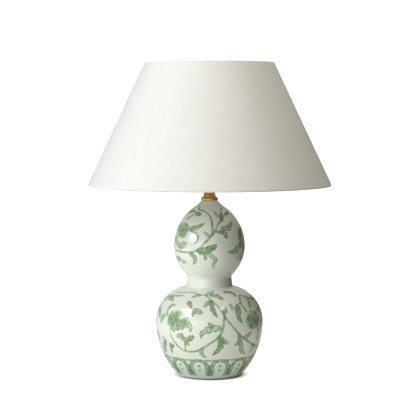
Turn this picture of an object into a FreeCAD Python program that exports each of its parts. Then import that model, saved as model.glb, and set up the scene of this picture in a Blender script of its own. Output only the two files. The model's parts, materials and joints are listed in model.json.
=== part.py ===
import FreeCAD, Part
import math
import os
import re

import Sketcher
from FreeCAD import Placement, Rotation, Vector

# A table lamp: a glazed double-gourd vase on a felt pad, a brass cap and neck, a turn-switch lamp holder,
# a harp with two locking sleeves, a bulb, and an empire shade on a three-armed spider under a finial.
# Millimetres. Z is up, the table is z = 0, the lamp's front faces -Y and its lead leaves at the back, +Y.

SIZES = {
    "gourd": {
        "belly_radius": 99.5, "belly_height": 100, "flank_arc": 139, "shoulder_arc": 67,
        "waist_foot_radius": 43, "waist_radius": 40.5, "waist_foot_fillet": 3, "waist_fillet": 12,
        "bulb_radius": 65.6, "bulb_height": 241.5, "underbulb_arc": 76, "crown_arc": 88,
        "lip_radius": 15, "lip_height": 326, "lip_arc": 35, "lip_round": 1.2,
        "wall": 5.5, "floor_underside": 12, "floor_thickness": 6, "recess_radius": 49,
        "foot_round": 1.6, "floor_hole_radius": 6, "mouth_radius": 8,
        "lead_hole_height": 28, "lead_hole_radius": 5.2, "lead_seat_radius": 8.4, "lead_seat_depth": 0.6,
    },
    "base": {
        "felt_radius": 55.5, "felt_thickness": 2,
        "washer_radius": 17, "washer_thickness": 1.5, "nut_flats": 17, "nut_height": 5.5,
        "grommet_flange_radius": 8, "grommet_flange": 1.6, "grommet_lead_radius": 3.4,
        "grommet_lip_radius": 6.2, "grommet_lip": 1.6, "grommet_play": 0.6, "grommet_round": 1.2,
    },
    "tube": {
        "tube_radius": 4.85, "tube_bore_radius": 3.2, "tube_bottom": 4, "tube_top": 365,
        "tube_slip": 0.15, "slot_width": 6, "slot_bottom": 23, "slot_height": 16,
    },
    "brass": {
        "bush_radius": 12.6, "bush_flange": 1.2, "bush_depth": 5,
        "cap_height": 6, "cap_bead_arc": 3.3, "cap_top_radius": 12.6,
        "cap_rim_foot_radius": 14.9, "cap_rim_top_radius": 14.6, "cap_bead_height": 5.2,
        "neck_foot_radius": 11.9, "neck_foot": 1, "neck_height": 22, "neck_waist_radius": 8.4,
        "neck_arc": 100,
        "neck_bead_radius": 9.7, "neck_bead_height": 4, "neck_bead_step": 0.4, "neck_bead_arc": 2.2,
    },
    "saddle": {
        "saddle_thickness": 1.6, "saddle_width": 12, "prong_offset": 27, "prong_width": 4.6,
        "prong_shoulder": 6.2, "prong_height": 14.6, "saddle_bend": 4,
    },
    "socket": {
        "collar_radius": 8.2, "collar_height": 7, "dome_foot_radius": 9.4, "dome_arc": 14, "dome_step": 0.8,
        "dome_top": 16, "socket_cap_radius": 17.3, "socket_cap_height": 25, "sheet_brass": 0.8,
        "set_screw_radius": 1.5, "set_screw_height": 3.6, "set_screw_length": 4.6,
        "shell_radius": 16.4, "shell_foot": 21.5, "shell_top": 65, "shell_wall": 0.7,
        "shell_bead_radius": 17.3, "shell_bead_height": 1.6, "shell_bead_arc": 1.2, "shell_bead_edge": 0.3,
        "shell_mouth_radius": 15, "shell_lip": 1.6, "shell_lip_arc": 2,
        "liner_wall": 0.4, "liner_foot": 22, "liner_top": 63.3,
        "insulator_radius": 15.3, "insulator_foot": 19, "insulator_top": 40.5, "insulator_bevel": 3,
        "thread_radius": 13.9, "thread_wall": 0.5, "thread_top": 61, "thread_floor_hole": 8,
        "contact_rise": 2.2, "contact_width": 6, "contact_sheet": 0.5, "contact_foot": 6.5,
        "contact_bend": 3.5, "contact_crest": 2.2, "contact_tip": 3.3,
        "terminal_height": 23.5, "terminal_radius": 1.5, "terminal_head_radius": 2.9,
        "terminal_head": 1.5, "terminal_length": 6, "terminal_flat": 11.5, "terminal_pocket": 4.5,
    },
    "switch": {
        "switch_height": 34, "stem_radius": 2.5, "stem_running": 0.06, "stem_inner_end": 7,
        "stem_outer_end": 27, "nozzle_radius": 4, "nozzle_outer_end": 20.5,
        "nozzle_slip": 0.15, "nozzle_bevel": 0.6, "knob_radius": 6.3, "knob_face": 37, "knob_back": 23,
        "knob_waist": 1.4, "knob_shoulder": 2.4, "knob_round": 1.6, "knob_rim": 0.8, "knob_dish": 1.2,
        "knob_flutes": 18, "flute_radius": 0.75, "flute_depth": 0.45, "flute_length": 13,
    },
    "harp": {
        "wire_radius": 1.6, "foot_tab_height": 9, "foot_tab_thickness": 1.5, "foot_tab_gap": 1,
        "foot_tab_taper": 2.4,
        "harp_straight_top": 391, "harp_widest": 57, "harp_swell_low": 424, "harp_swell_high": 486,
        "harp_foot_bend": 18, "harp_low_bend": 42, "harp_high_bend": 95, "harp_crown_bend": 24,
        "harp_crown_half": 30, "harp_crown_height": 548,
        "seat_radius": 6.5, "seat_height": 4.2, "seat_below": 2.6, "seat_bevel": 0.7,
        "stud_radius": 3.15, "stud_length": 11,
        "sleeve_radius": 4.5, "sleeve_bore": 3.15, "sleeve_height": 13, "sleeve_rim": 0.6,
        "sleeve_waist": 0.5,
    },
    "bulb": {
        "bulb_seat": 43, "bulb_length": 107, "globe_radius": 30, "globe_wall": 0.8,
        "neck_glass_radius": 13.6, "neck_glass_height": 28, "glass_tuck": 6, "glass_clear": 0.4,
        "bulb_cap_radius": 12.9, "bulb_cap_wall": 0.5, "bulb_cap_foot": 4.4, "bulb_cap_height": 23,
        "bulb_cap_bevel": 1.4, "bulb_cap_shoulder": 2.2, "bulb_insulator_radius": 9.6,
        "bulb_insulator_height": 4.7, "bulb_tip_radius": 4.6, "bulb_tip_height": 1.3,
        "bulb_tip_flat": 1.6, "bulb_tip_arc": 6,
        "stem_glass_radius": 5, "stem_glass_top": 58, "stem_flare": 8, "stem_pinch_radius": 3.2,
        "filament_radius": 13, "filament_wire": 0.35, "filament_height": 72, "filament_sag": 3,
        "lead_spread": 2, "lead_rise": 5, "lead_bend": 2.5, "filament_hook": 1.2, "filament_arch": 9,
    },
    "shade": {
        "shade_bottom_radius": 225, "shade_top_radius": 120, "shade_bottom": 353, "shade_top": 580,
        "ring_wire_radius": 1.5, "fabric": 0.5, "lining": 0.6, "lining_margin": 3,
        "hem_wrap": 290, "hem_sides": 12, "notch_slip": 0.25, "notch_length": 6,
        "hub_radius": 10, "hub_thickness": 1.6, "hub_slip": 0.1, "hub_bore": 3.23,
        "arm_radius": 1.35, "arm_bend_radius": 12, "arm_drop_reach": 100, "arm_root": 2, "arms": 3,
    },
    "finial": {
        "finial_foot_radius": 7.2, "finial_foot_height": 2, "finial_waist_radius": 4.4,
        "finial_foot_bevel": 0.5, "finial_cove": 3.4, "finial_waist_height": 5.6, "finial_ball_radius": 6.6,
        "finial_ball_rise": 5.4, "finial_slip": 0.08, "finial_bore_depth": 11.4,
    },
}

doc = FreeCAD.newDocument("double_gourd_lamp")
sheet = doc.addObject("Spreadsheet::Sheet", "Sizes")
row = 0
for group, cells in SIZES.items():
    row += 1
    sheet.set(f"A{row}", group)
    for alias, size in cells.items():
        row += 1
        sheet.set(f"A{row}", alias)
        sheet.set(f"B{row}", str(size))
        sheet.setAlias(f"B{row}", alias)
doc.recompute()
ALIASES = {alias for cells in SIZES.values() for alias in cells}

# Places that several pieces share, written once as formulas on the sheet's cells.
TOP_OF_CAP = "(lip_height + cap_height)"
TOP_OF_NECK = f"({TOP_OF_CAP} + neck_height)"
SOCKET_BASE = f"({TOP_OF_NECK} + saddle_thickness)"
PRONG_SHOULDER = f"({TOP_OF_NECK} + prong_shoulder)"
SWITCH_HEIGHT = f"({SOCKET_BASE} + switch_height)"
BULB_TIP = f"({SOCKET_BASE} + bulb_seat)"
HARP_SEAT = "(harp_crown_height + seat_height)"
HEM_RADIUS = "(ring_wire_radius + fabric)"
LOW_RING_RADIUS = f"(shade_bottom_radius - {HEM_RADIUS})"
LOW_RING_HEIGHT = f"(shade_bottom + {HEM_RADIUS})"
HIGH_RING_RADIUS = f"(shade_top_radius - {HEM_RADIUS})"
HIGH_RING_HEIGHT = f"(shade_top - {HEM_RADIUS})"
SHADE_LEAN = f"atan(({LOW_RING_RADIUS} - {HIGH_RING_RADIUS}) / ({HIGH_RING_HEIGHT} - {LOW_RING_HEIGHT}))"
HUB_UNDERSIDE = f"({HARP_SEAT} + hub_slip)"
HUB_TOP = f"({HUB_UNDERSIDE} + hub_thickness)"
ARM_LEVEL = f"({HUB_UNDERSIDE} + hub_thickness / 2)"
ARM_FOOT = "(hub_radius - arm_root)"
FINIAL_FOOT = f"({HUB_TOP} + hub_slip)"


def on_sheet(formula):
    """The formula with each cell's name written as the sheet's own."""
    return re.sub(r"[a-z_]+", lambda m: f"Sizes.{m[0]}" if m[0] in ALIASES else m[0], str(formula))


def value(formula):
    """What a formula on the sheet's cells comes to, in millimetres or degrees."""
    result = sheet.evalExpression(on_sheet(formula))
    return float(getattr(result, "Value", result))


def constrain(sketch, kind, formula, *where):
    """Adds a dimension to the sketch and binds it to the formula."""
    number = sketch.addConstraint(Sketcher.Constraint(kind, *where, value(formula)))
    if any(alias in ALIASES for alias in re.findall(r"[a-z_]+", str(formula))):
        sketch.setExpression(f"Constraints[{number}]", on_sheet(formula))


def place_point(sketch, geometry, end, across, up):
    """Puts one end of a sketch line or arc at a point given by two formulas."""
    for kind, formula, axis in (("DistanceX", across, -2), ("DistanceY", up, -1)):
        if abs(value(formula)) < 1e-9:
            sketch.addConstraint(Sketcher.Constraint("PointOnObject", geometry, end, axis))
        else:
            constrain(sketch, kind, formula, -1, 1, geometry, end)


def new_body(label):
    body = doc.addObject("PartDesign::Body", label)
    body.Label = label
    return body


def new_sketch(body, name, plane="XZ_Plane", offset=None):
    """A sketch on one of the body's own origin planes."""
    sketch = body.newObject("Sketcher::SketchObject", name)
    face = next(f for f in body.Origin.OriginFeatures if f.Role == plane)
    sketch.AttachmentSupport = [(face, "")]
    sketch.MapMode = "FlatFace"
    if offset is not None:
        sketch.AttachmentOffset = offset
    return sketch


def arc_between(start, end, radius):
    """A circle's arc from start to end. A positive radius turns left on the way, a negative one right."""
    chord = end - start
    half = chord.Length / 2
    rise = math.sqrt(max(radius * radius - half * half, 0))
    left = Vector(-chord.y, chord.x, 0).normalize()
    centre = (start + end) / 2 + left * math.copysign(rise, radius)
    first, last = (start, end) if radius > 0 else (end, start)
    angles = [math.atan2(p.y - centre.y, p.x - centre.x) for p in (first, last)]
    return Part.ArcOfCircle(Part.Circle(centre, Vector(0, 0, 1), abs(radius)), *angles)


def draw_outline(sketch, corners):
    """A closed outline. A corner is (across, up), or (across, up, radius) where an arc leaves it."""
    points = [Vector(value(c[0]), value(c[1]), 0) for c in corners]
    ends = []
    for number, corner in enumerate(corners):
        start, end = points[number], points[(number + 1) % len(points)]
        if len(corner) == 2:
            geometry = sketch.addGeometry(Part.LineSegment(start, end), False)
            ends.append((geometry, 1, 2))
            continue
        radius = value(corner[2])
        geometry = sketch.addGeometry(arc_between(start, end, radius), False)
        constrain(sketch, "Radius", str(corner[2]).lstrip("-"), geometry)
        ends.append((geometry, 1, 2) if radius > 0 else (geometry, 2, 1))
    for number, corner in enumerate(corners):
        geometry, first, _ = ends[number]
        before, _, last = ends[number - 1]
        sketch.addConstraint(Sketcher.Constraint("Coincident", before, last, geometry, first))
        place_point(sketch, geometry, first, corner[0], corner[1])


def draw_path(sketch, corners):
    """An open path of straight runs. Its inner corners, (across, up, radius), are rounded by tangent arcs."""
    points = [Vector(value(c[0]), value(c[1]), 0) for c in corners]
    cuts, arcs = [points[0]], []
    for number in range(1, len(corners) - 1):
        back = (points[number - 1] - points[number]).normalize()
        ahead = (points[number + 1] - points[number]).normalize()
        radius = value(corners[number][2])
        reach = radius / math.tan(back.getAngle(ahead) / 2)
        enter, leave = points[number] + back * reach, points[number] + ahead * reach
        turn = back.cross(ahead).z
        arcs.append(arc_between(enter, leave, -radius if turn > 0 else radius))
        cuts += [enter, leave]
    cuts.append(points[-1])
    lines = [sketch.addGeometry(Part.LineSegment(*cuts[i:i + 2]), False) for i in range(0, len(cuts), 2)]
    for number, arc in enumerate(arcs):
        bend = sketch.addGeometry(arc, False)
        near = 1 if (sketch.getPoint(bend, 1) - cuts[2 * number + 1]).Length < 1e-6 else 2
        sketch.addConstraint(Sketcher.Constraint("Tangent", lines[number], 2, bend, near))
        sketch.addConstraint(Sketcher.Constraint("Tangent", bend, 3 - near, lines[number + 1], 1))
        constrain(sketch, "Radius", corners[number + 1][2], bend)
        corner = sketch.addGeometry(Part.Point(points[number + 1]), True)
        for line in lines[number:number + 2]:
            sketch.addConstraint(Sketcher.Constraint("PointOnObject", corner, 1, line))
        place_point(sketch, corner, 1, *corners[number + 1][:2])
    place_point(sketch, lines[0], 1, *corners[0][:2])
    place_point(sketch, lines[-1], 2, *corners[-1][:2])


def revolve(body, kind, name, corners):
    """Turns an outline about the body's own Z axis, as a Revolution that adds or a Groove that cuts."""
    sketch = new_sketch(body, f"{name}_outline")
    draw_outline(sketch, corners)
    feature = body.newObject(f"PartDesign::{kind}", name)
    feature.Profile = sketch
    feature.ReferenceAxis = (sketch, ["V_Axis"])
    feature.Angle = 360
    return feature


def lathe(label, corners, placement=None):
    """A turned piece: one outline about Z, then put where it belongs."""
    body = new_body(label)
    revolve(body, "Revolution", f"{label}_turned", corners)
    if placement is not None:
        body.Placement = placement
    return body


def circle_sketch(body, name, formula, centre=("0", "0"), plane="XY_Plane", offset=None):
    sketch = new_sketch(body, name, plane, offset)
    middle = Vector(value(centre[0]), value(centre[1]), 0)
    circle = sketch.addGeometry(Part.Circle(middle, Vector(0, 0, 1), value(formula)), False)
    constrain(sketch, "Radius", formula, circle)
    place_point(sketch, circle, 3, *centre)
    return sketch


def cut(body, name, sketch, length, way="both"):
    """A Pocket of a stated length, cut both ways, or along or against the sketch's own facing direction.

    A sketch on the XZ plane faces the lamp's front. A pocket that takes nothing away stops the build.
    """
    doc.recompute()
    before = body.Shape.Volume
    pocket = body.newObject("PartDesign::Pocket", name)
    pocket.Profile = sketch
    pocket.Length = value(length)
    pocket.setExpression("Length", on_sheet(length))
    pocket.SideType = "Symmetric" if way == "both" else "One side"
    pocket.Reversed = way == "along"
    doc.recompute()
    if body.Shape.Volume > before - 1e-3:
        raise RuntimeError(f"{name} cuts nothing")
    return pocket


def pad(body, name, sketch, formula, way="along"):
    feature = body.newObject("PartDesign::Pad", name)
    feature.Profile = sketch
    feature.Length = value(formula)
    feature.setExpression("Length", on_sheet(formula))
    feature.SideType = "Symmetric" if way == "both" else "One side"
    feature.Reversed = way == "against"
    return feature


def round_circle(body, name, base, radius, formula):
    """Rounds the one circular edge about Z that has the given radius."""
    doc.recompute()
    def is_wanted(curve):
        on_axis = isinstance(curve, Part.Circle) and math.hypot(curve.Center.x, curve.Center.y) < 1e-6
        return on_axis and abs(curve.Radius - radius) < 1e-4

    edges = [f"Edge{n}" for n, edge in enumerate(base.Shape.Edges, 1) if is_wanted(edge.Curve)]
    if len(edges) != 1:
        raise RuntimeError(f"{name} found {len(edges)} edges, not one")
    fillet = body.newObject("PartDesign::Fillet", name)
    fillet.Base = (base, edges)
    fillet.Radius = value(formula)
    fillet.setExpression("Radius", on_sheet(formula))
    return fillet


def pipe(body, name, path, section):
    feature = body.newObject("PartDesign::AdditivePipe", name)
    feature.Profile = section
    feature.Spine = (path, [])
    return feature


def raised(height):
    """A sketch moved along its plane's own normal."""
    return Placement(Vector(0, 0, value(height)), Rotation())


def pointing(height, azimuth):
    """Stands a turned piece's Z axis out sideways: azimuth 0 is +X, 90 the back, 270 the front."""
    outward = Vector(math.cos(math.radians(azimuth)), math.sin(math.radians(azimuth)), 0)
    return Placement(Vector(0, 0, value(height)), Rotation(Vector(0, 0, 1), outward))


# ---- the gourd ------------------------------------------------------------------------------------------
# Both bulbs are pairs of arcs that meet upright at the bulb's widest circle, so each arc's centre is at that
# height. The cavity repeats the same centres with every radius smaller by the wall.

def draw_gourd(sketch, inset, bottom, top):
    """The gourd's side from bottom up, closed down the axis. top is 'lip' outside, 'mouth' in the cavity."""
    def centre(widest, arc, height):
        return Vector(value(f"{widest} - {arc}"), value(height), 0)

    def at_height(middle, radius, height):
        return Vector(middle.x + math.sqrt(radius ** 2 - (height - middle.y) ** 2), height, 0)

    def at_radius(middle, radius, across, upward):
        rise = math.sqrt(radius ** 2 - (across - middle.x) ** 2)
        return Vector(across, middle.y + (rise if upward else -rise), 0)

    flank = centre("belly_radius", "flank_arc", "belly_height")
    shoulder = centre("belly_radius", "shoulder_arc", "belly_height")
    under = centre("bulb_radius", "underbulb_arc", "bulb_height")
    crown = centre("bulb_radius", "crown_arc", "bulb_height")
    arcs = ("flank_arc", "shoulder_arc", "underbulb_arc", "crown_arc")
    arc_size = {name: value(f"{name} - {inset}") for name in arcs}
    belly = Vector(value(f"belly_radius - {inset}"), value("belly_height"), 0)
    bulb = Vector(value(f"bulb_radius - {inset}"), value("bulb_height"), 0)
    start = at_height(flank, arc_size["flank_arc"], value(bottom))
    waist_foot = at_radius(shoulder, arc_size["shoulder_arc"], value(f"waist_foot_radius - {inset}"), True)
    waist_top = at_radius(under, arc_size["underbulb_arc"], value(f"waist_radius - {inset}"), False)
    if top == "lip":
        rim = Vector(value("lip_radius"), value("lip_height"), 0)
        near, far = arc_size["crown_arc"] + value("lip_arc"), value("lip_arc")
        span = rim - crown
        along = (near ** 2 - far ** 2 + span.Length ** 2) / (2 * span.Length)
        side = math.sqrt(near ** 2 - along ** 2)
        unit = Vector(span).normalize()
        hollow = crown + unit * along + Vector(unit.y, -unit.x, 0) * side
        leave = crown + (hollow - crown).normalize() * arc_size["crown_arc"]
    else:
        leave = at_radius(crown, arc_size["crown_arc"], value("mouth_radius"), True)
        rim = leave
    joins = [
        ("arc", start, belly, arc_size["flank_arc"]), ("arc", belly, waist_foot, arc_size["shoulder_arc"]),
        ("line", waist_foot, waist_top, 0), ("arc", waist_top, bulb, arc_size["underbulb_arc"]),
        ("arc", bulb, leave, arc_size["crown_arc"]),
    ]
    if top == "lip":
        joins.append(("arc", leave, rim, -value("lip_arc")))
    foot, head = Vector(0, start.y, 0), Vector(0, rim.y, 0)
    joins += [("line", rim, head, 0), ("line", head, foot, 0), ("line", foot, start, 0)]
    ends = []
    for kind, first, last, radius in joins:
        shape = Part.LineSegment(first, last) if kind == "line" else arc_between(first, last, radius)
        geometry = sketch.addGeometry(shape, False)
        ends.append((geometry, 1, 2) if radius >= 0 else (geometry, 2, 1))
    for number, (geometry, first, _) in enumerate(ends):
        before, _, last = ends[number - 1]
        tangent = top == "lip" and number == 5
        kind = "Tangent" if tangent else "Coincident"
        sketch.addConstraint(Sketcher.Constraint(kind, before, last, geometry, first))
    for number, widest, arc, height in ((0, "belly_radius", "flank_arc", "belly_height"),
                                        (1, "belly_radius", "shoulder_arc", "belly_height"),
                                        (3, "bulb_radius", "underbulb_arc", "bulb_height"),
                                        (4, "bulb_radius", "crown_arc", "bulb_height")):
        place_point(sketch, ends[number][0], 3, f"{widest} - {arc}", height)
    for number, arc, height in ((0, "flank_arc", "belly_height"), (3, "underbulb_arc", "bulb_height")):
        constrain(sketch, "Radius", f"{arc} - {inset}", ends[number][0])
        constrain(sketch, "DistanceY", height, -1, 1, ends[number][0], 2)
    constrain(sketch, "DistanceY", bottom, -1, 1, ends[0][0], 1)
    constrain(sketch, "DistanceX", f"waist_foot_radius - {inset}", -1, 1, ends[2][0], 1)
    constrain(sketch, "DistanceX", f"waist_radius - {inset}", -1, 1, ends[2][0], 2)
    across, down, out = (end[0] for end in ends[-3:])
    if top == "lip":
        constrain(sketch, "Radius", "lip_arc", ends[5][0])
        place_point(sketch, across, 1, "lip_radius", "lip_height")
    else:
        constrain(sketch, "DistanceX", "mouth_radius", -1, 1, across, 1)
    for geometry, kind in ((across, "Horizontal"), (out, "Horizontal")):
        sketch.addConstraint(Sketcher.Constraint(kind, geometry))
    for end in (1, 2):
        sketch.addConstraint(Sketcher.Constraint("PointOnObject", down, end, -2))


def turned_gourd(body, kind, name, inset, bottom, top):
    sketch = new_sketch(body, f"{name}_side")
    draw_gourd(sketch, inset, bottom, top)
    feature = body.newObject(f"PartDesign::{kind}", name)
    feature.Profile = sketch
    feature.ReferenceAxis = (sketch, ["V_Axis"])
    feature.Angle = 360
    return feature


def lead_hole_placement():
    """Where the lead's hole meets the outside of the back wall, with Z square to the wall and outwards."""
    middle = Vector(0, value("belly_radius - flank_arc"), value("belly_height"))
    fall = math.asin((value("belly_height") - value("lead_hole_height")) / value("flank_arc"))
    outward = Vector(0, math.cos(fall), -math.sin(fall))
    return Placement(middle + outward * value("flank_arc"), Rotation(Vector(0, 0, 1), outward))


def make_gourd():
    """The slip-cast vase: an even wall, a floor with a hole for the tube, a recessed foot and a lead hole."""
    body = new_body("gourd_body")
    outside = turned_gourd(body, "Revolution", "outside", "0", "felt_thickness", "lip")
    foot = round_circle(body, "waist_foot_rounding", outside, value("waist_foot_radius"), "waist_foot_fillet")
    under = round_circle(body, "waist_rounding", foot, value("waist_radius"), "waist_fillet")
    rim = round_circle(body, "lip_rounding", under, value("lip_radius"), "lip_round")
    doc.recompute()
    lowest = value("felt_thickness") + 1e-3
    foot_radius = max(edge.Curve.Radius for edge in rim.Shape.Edges
                      if isinstance(edge.Curve, Part.Circle) and edge.BoundBox.ZMax < lowest)
    round_circle(body, "foot_rounding", rim, foot_radius, "foot_round")
    turned_gourd(body, "Groove", "cavity", "wall", "floor_underside + floor_thickness", "mouth")
    revolve(body, "Groove", "foot_recess", [
        ("0", "felt_thickness - 1"), ("recess_radius", "felt_thickness - 1"),
        ("recess_radius", "floor_underside"), ("0", "floor_underside"),
    ])
    revolve(body, "Groove", "floor_hole", [
        ("0", "floor_underside - 1"), ("floor_hole_radius", "floor_underside - 1"),
        ("floor_hole_radius", "floor_underside + floor_thickness + 1"),
        ("0", "floor_underside + floor_thickness + 1"),
    ])
    revolve(body, "Groove", "mouth", [
        ("0", "lip_height - 12"), ("mouth_radius", "lip_height - 12"),
        ("mouth_radius", "lip_height + 1"), ("0", "lip_height + 1"),
    ])
    back = lead_hole_placement()
    hole = circle_sketch(body, "lead_hole_circle", "lead_hole_radius", offset=back)
    cut(body, "lead_hole", hole, "3 * wall")
    seat = circle_sketch(body, "lead_seat_circle", "lead_seat_radius", offset=back)
    cut(body, "lead_seat", seat, "2 * lead_seat_depth")
    return body


# ---- the base: felt, washer, nut, tube and the lead's grommet --------------------------------------------

def make_base():
    felt = lathe("felt_pad", [("0", "0"), ("felt_radius", "0"), ("felt_radius", "felt_thickness"),
                              ("0", "felt_thickness")])
    under_washer = "floor_underside - washer_thickness"
    washer = lathe("bottom_washer", [
        ("tube_radius + tube_slip", under_washer), ("washer_radius", under_washer),
        ("washer_radius", "floor_underside"), ("tube_radius + tube_slip", "floor_underside"),
    ])
    tube = lathe("lamp_tube", [
        ("tube_bore_radius", "tube_bottom"), ("tube_radius", "tube_bottom"),
        ("tube_radius", "tube_top"), ("tube_bore_radius", "tube_top"),
    ])
    slot = new_sketch(tube, "lead_slot_outline")
    half, low, high = "slot_width / 2", "slot_bottom", "slot_bottom + slot_height"
    draw_outline(slot, [(f"-{half}", low), (half, low), (half, high), (f"-{half}", high)])
    cut(tube, "lead_slot", slot, "2 * tube_radius", "against")
    return [felt, washer, make_nut(f"{under_washer} - nut_height"), tube, make_grommet()]


def make_nut(foot):
    """A hexagon nut: six equal sides on a circle, bored to the tube."""
    nut = new_body("bottom_nut")
    hexagon = new_sketch(nut, "nut_flats_sketch", "XY_Plane", raised(foot))
    corner = value("nut_flats / sqrt(3)")
    points = [Vector(corner * math.cos(math.radians(60 * k)), corner * math.sin(math.radians(60 * k)), 0)
              for k in range(6)]
    lines = [hexagon.addGeometry(Part.LineSegment(points[k], points[(k + 1) % 6]), False) for k in range(6)]
    guide = hexagon.addGeometry(Part.Circle(Vector(0, 0, 0), Vector(0, 0, 1), corner), True)
    hexagon.addConstraint(Sketcher.Constraint("Coincident", guide, 3, -1, 1))
    constrain(hexagon, "Radius", "nut_flats / sqrt(3)", guide)
    for k in range(6):
        hexagon.addConstraint(Sketcher.Constraint("Coincident", lines[k], 2, lines[(k + 1) % 6], 1))
        hexagon.addConstraint(Sketcher.Constraint("PointOnObject", lines[k], 1, guide))
        if k:
            hexagon.addConstraint(Sketcher.Constraint("Equal", lines[0], lines[k]))
    hexagon.addConstraint(Sketcher.Constraint("PointOnObject", lines[0], 1, -1))
    bore = hexagon.addGeometry(Part.Circle(Vector(0, 0, 0), Vector(0, 0, 1), value("tube_radius")), False)
    hexagon.addConstraint(Sketcher.Constraint("Coincident", bore, 3, -1, 1))
    constrain(hexagon, "Radius", "tube_radius", bore)
    pad(nut, "nut_blank", hexagon, "nut_height")
    return nut


def make_grommet():
    """A snap-in bush: its flange sits in the seat outside the wall and its barbed lip holds inside it."""
    seat, inside = "-lead_seat_depth", "-(wall + grommet_play)"
    return lathe("cord_grommet", [
        ("grommet_lead_radius", f"{inside} - grommet_lip"), ("lead_hole_radius", f"{inside} - grommet_lip"),
        ("grommet_lip_radius", inside), ("lead_hole_radius", inside),
        ("lead_hole_radius", seat), ("grommet_flange_radius", seat),
        ("grommet_flange_radius", f"{seat} + grommet_flange / 2", "grommet_flange"),
        ("grommet_flange_radius - grommet_round", f"{seat} + grommet_flange"),
        ("grommet_lead_radius", f"{seat} + grommet_flange"),
    ], lead_hole_placement())


# ---- the brass cap, its rubber bush and the neck ---------------------------------------------------------

def make_brass():
    bush = lathe("mouth_bush", [
        ("tube_radius", "lip_height - bush_depth"), ("mouth_radius", "lip_height - bush_depth"),
        ("mouth_radius", "lip_height"), ("bush_radius", "lip_height"),
        ("bush_radius", "lip_height + bush_flange"), ("tube_radius", "lip_height + bush_flange"),
    ])
    cap = lathe("vase_cap", [
        ("tube_radius + tube_slip", "lip_height + bush_flange"), ("bush_radius", "lip_height + bush_flange"),
        ("bush_radius", "lip_height"), ("cap_rim_foot_radius", "lip_height", "cap_bead_arc"),
        ("cap_rim_top_radius", "lip_height + cap_bead_height"), ("cap_top_radius", TOP_OF_CAP),
        ("tube_radius + tube_slip", TOP_OF_CAP),
    ])
    neck = lathe("neck", [
        ("tube_radius + tube_slip", TOP_OF_CAP), ("neck_foot_radius", TOP_OF_CAP),
        ("neck_foot_radius", f"{TOP_OF_CAP} + neck_foot", "-neck_arc"),
        ("neck_waist_radius", f"{TOP_OF_NECK} - neck_bead_height"),
        ("neck_bead_radius", f"{TOP_OF_NECK} - neck_bead_height + neck_bead_step", "neck_bead_arc"),
        ("neck_bead_radius", TOP_OF_NECK), ("tube_radius + tube_slip", TOP_OF_NECK),
    ])
    return [bush, cap, neck]


# ---- the harp's saddle -----------------------------------------------------------------------------------

def make_saddle():
    """A brass strap clamped under the lamp holder, its ends bent up into narrow prongs for the harp."""
    body = new_body("harp_saddle")
    strap = new_sketch(body, "strap_outline")
    inner, outer = "prong_offset", "prong_offset + saddle_thickness"
    low, high = TOP_OF_NECK, f"{TOP_OF_NECK} + prong_height"
    draw_outline(strap, [
        (f"-({outer} - saddle_bend)", low), (f"{outer} - saddle_bend", low, "saddle_bend"),
        (outer, f"{low} + saddle_bend"), (outer, high), (inner, high),
        (inner, f"{low} + saddle_bend", "-(saddle_bend - saddle_thickness)"),
        (f"{outer} - saddle_bend", f"{low} + saddle_thickness"),
        (f"-({outer} - saddle_bend)", f"{low} + saddle_thickness", "-(saddle_bend - saddle_thickness)"),
        (f"-({inner})", f"{low} + saddle_bend"), (f"-({inner})", high), (f"-({outer})", high),
        (f"-({outer})", f"{low} + saddle_bend", "saddle_bend"),
    ])
    pad(body, "strap", strap, "saddle_width", "both")
    hole = circle_sketch(body, "saddle_hole_circle", "tube_radius + tube_slip", offset=raised(TOP_OF_NECK))
    cut(body, "saddle_hole", hole, "4 * saddle_thickness")
    sides = new_sketch(body, "prong_sides_outline", "YZ_Plane")
    for sign in ("", "-"):
        near, far = f"{sign}(prong_width / 2)", f"{sign}(saddle_width)"
        corners = [(near, PRONG_SHOULDER), (far, PRONG_SHOULDER), (far, f"{high} + 1"), (near, f"{high} + 1")]
        draw_outline(sides, corners if sign == "" else corners[::-1])
    cut(body, "prong_sides", sides, "4 * prong_offset")
    return body


# ---- the lamp holder -------------------------------------------------------------------------------------

def above(formula):
    """A height given from the lamp holder's base."""
    return f"{SOCKET_BASE} + {formula}"


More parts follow.
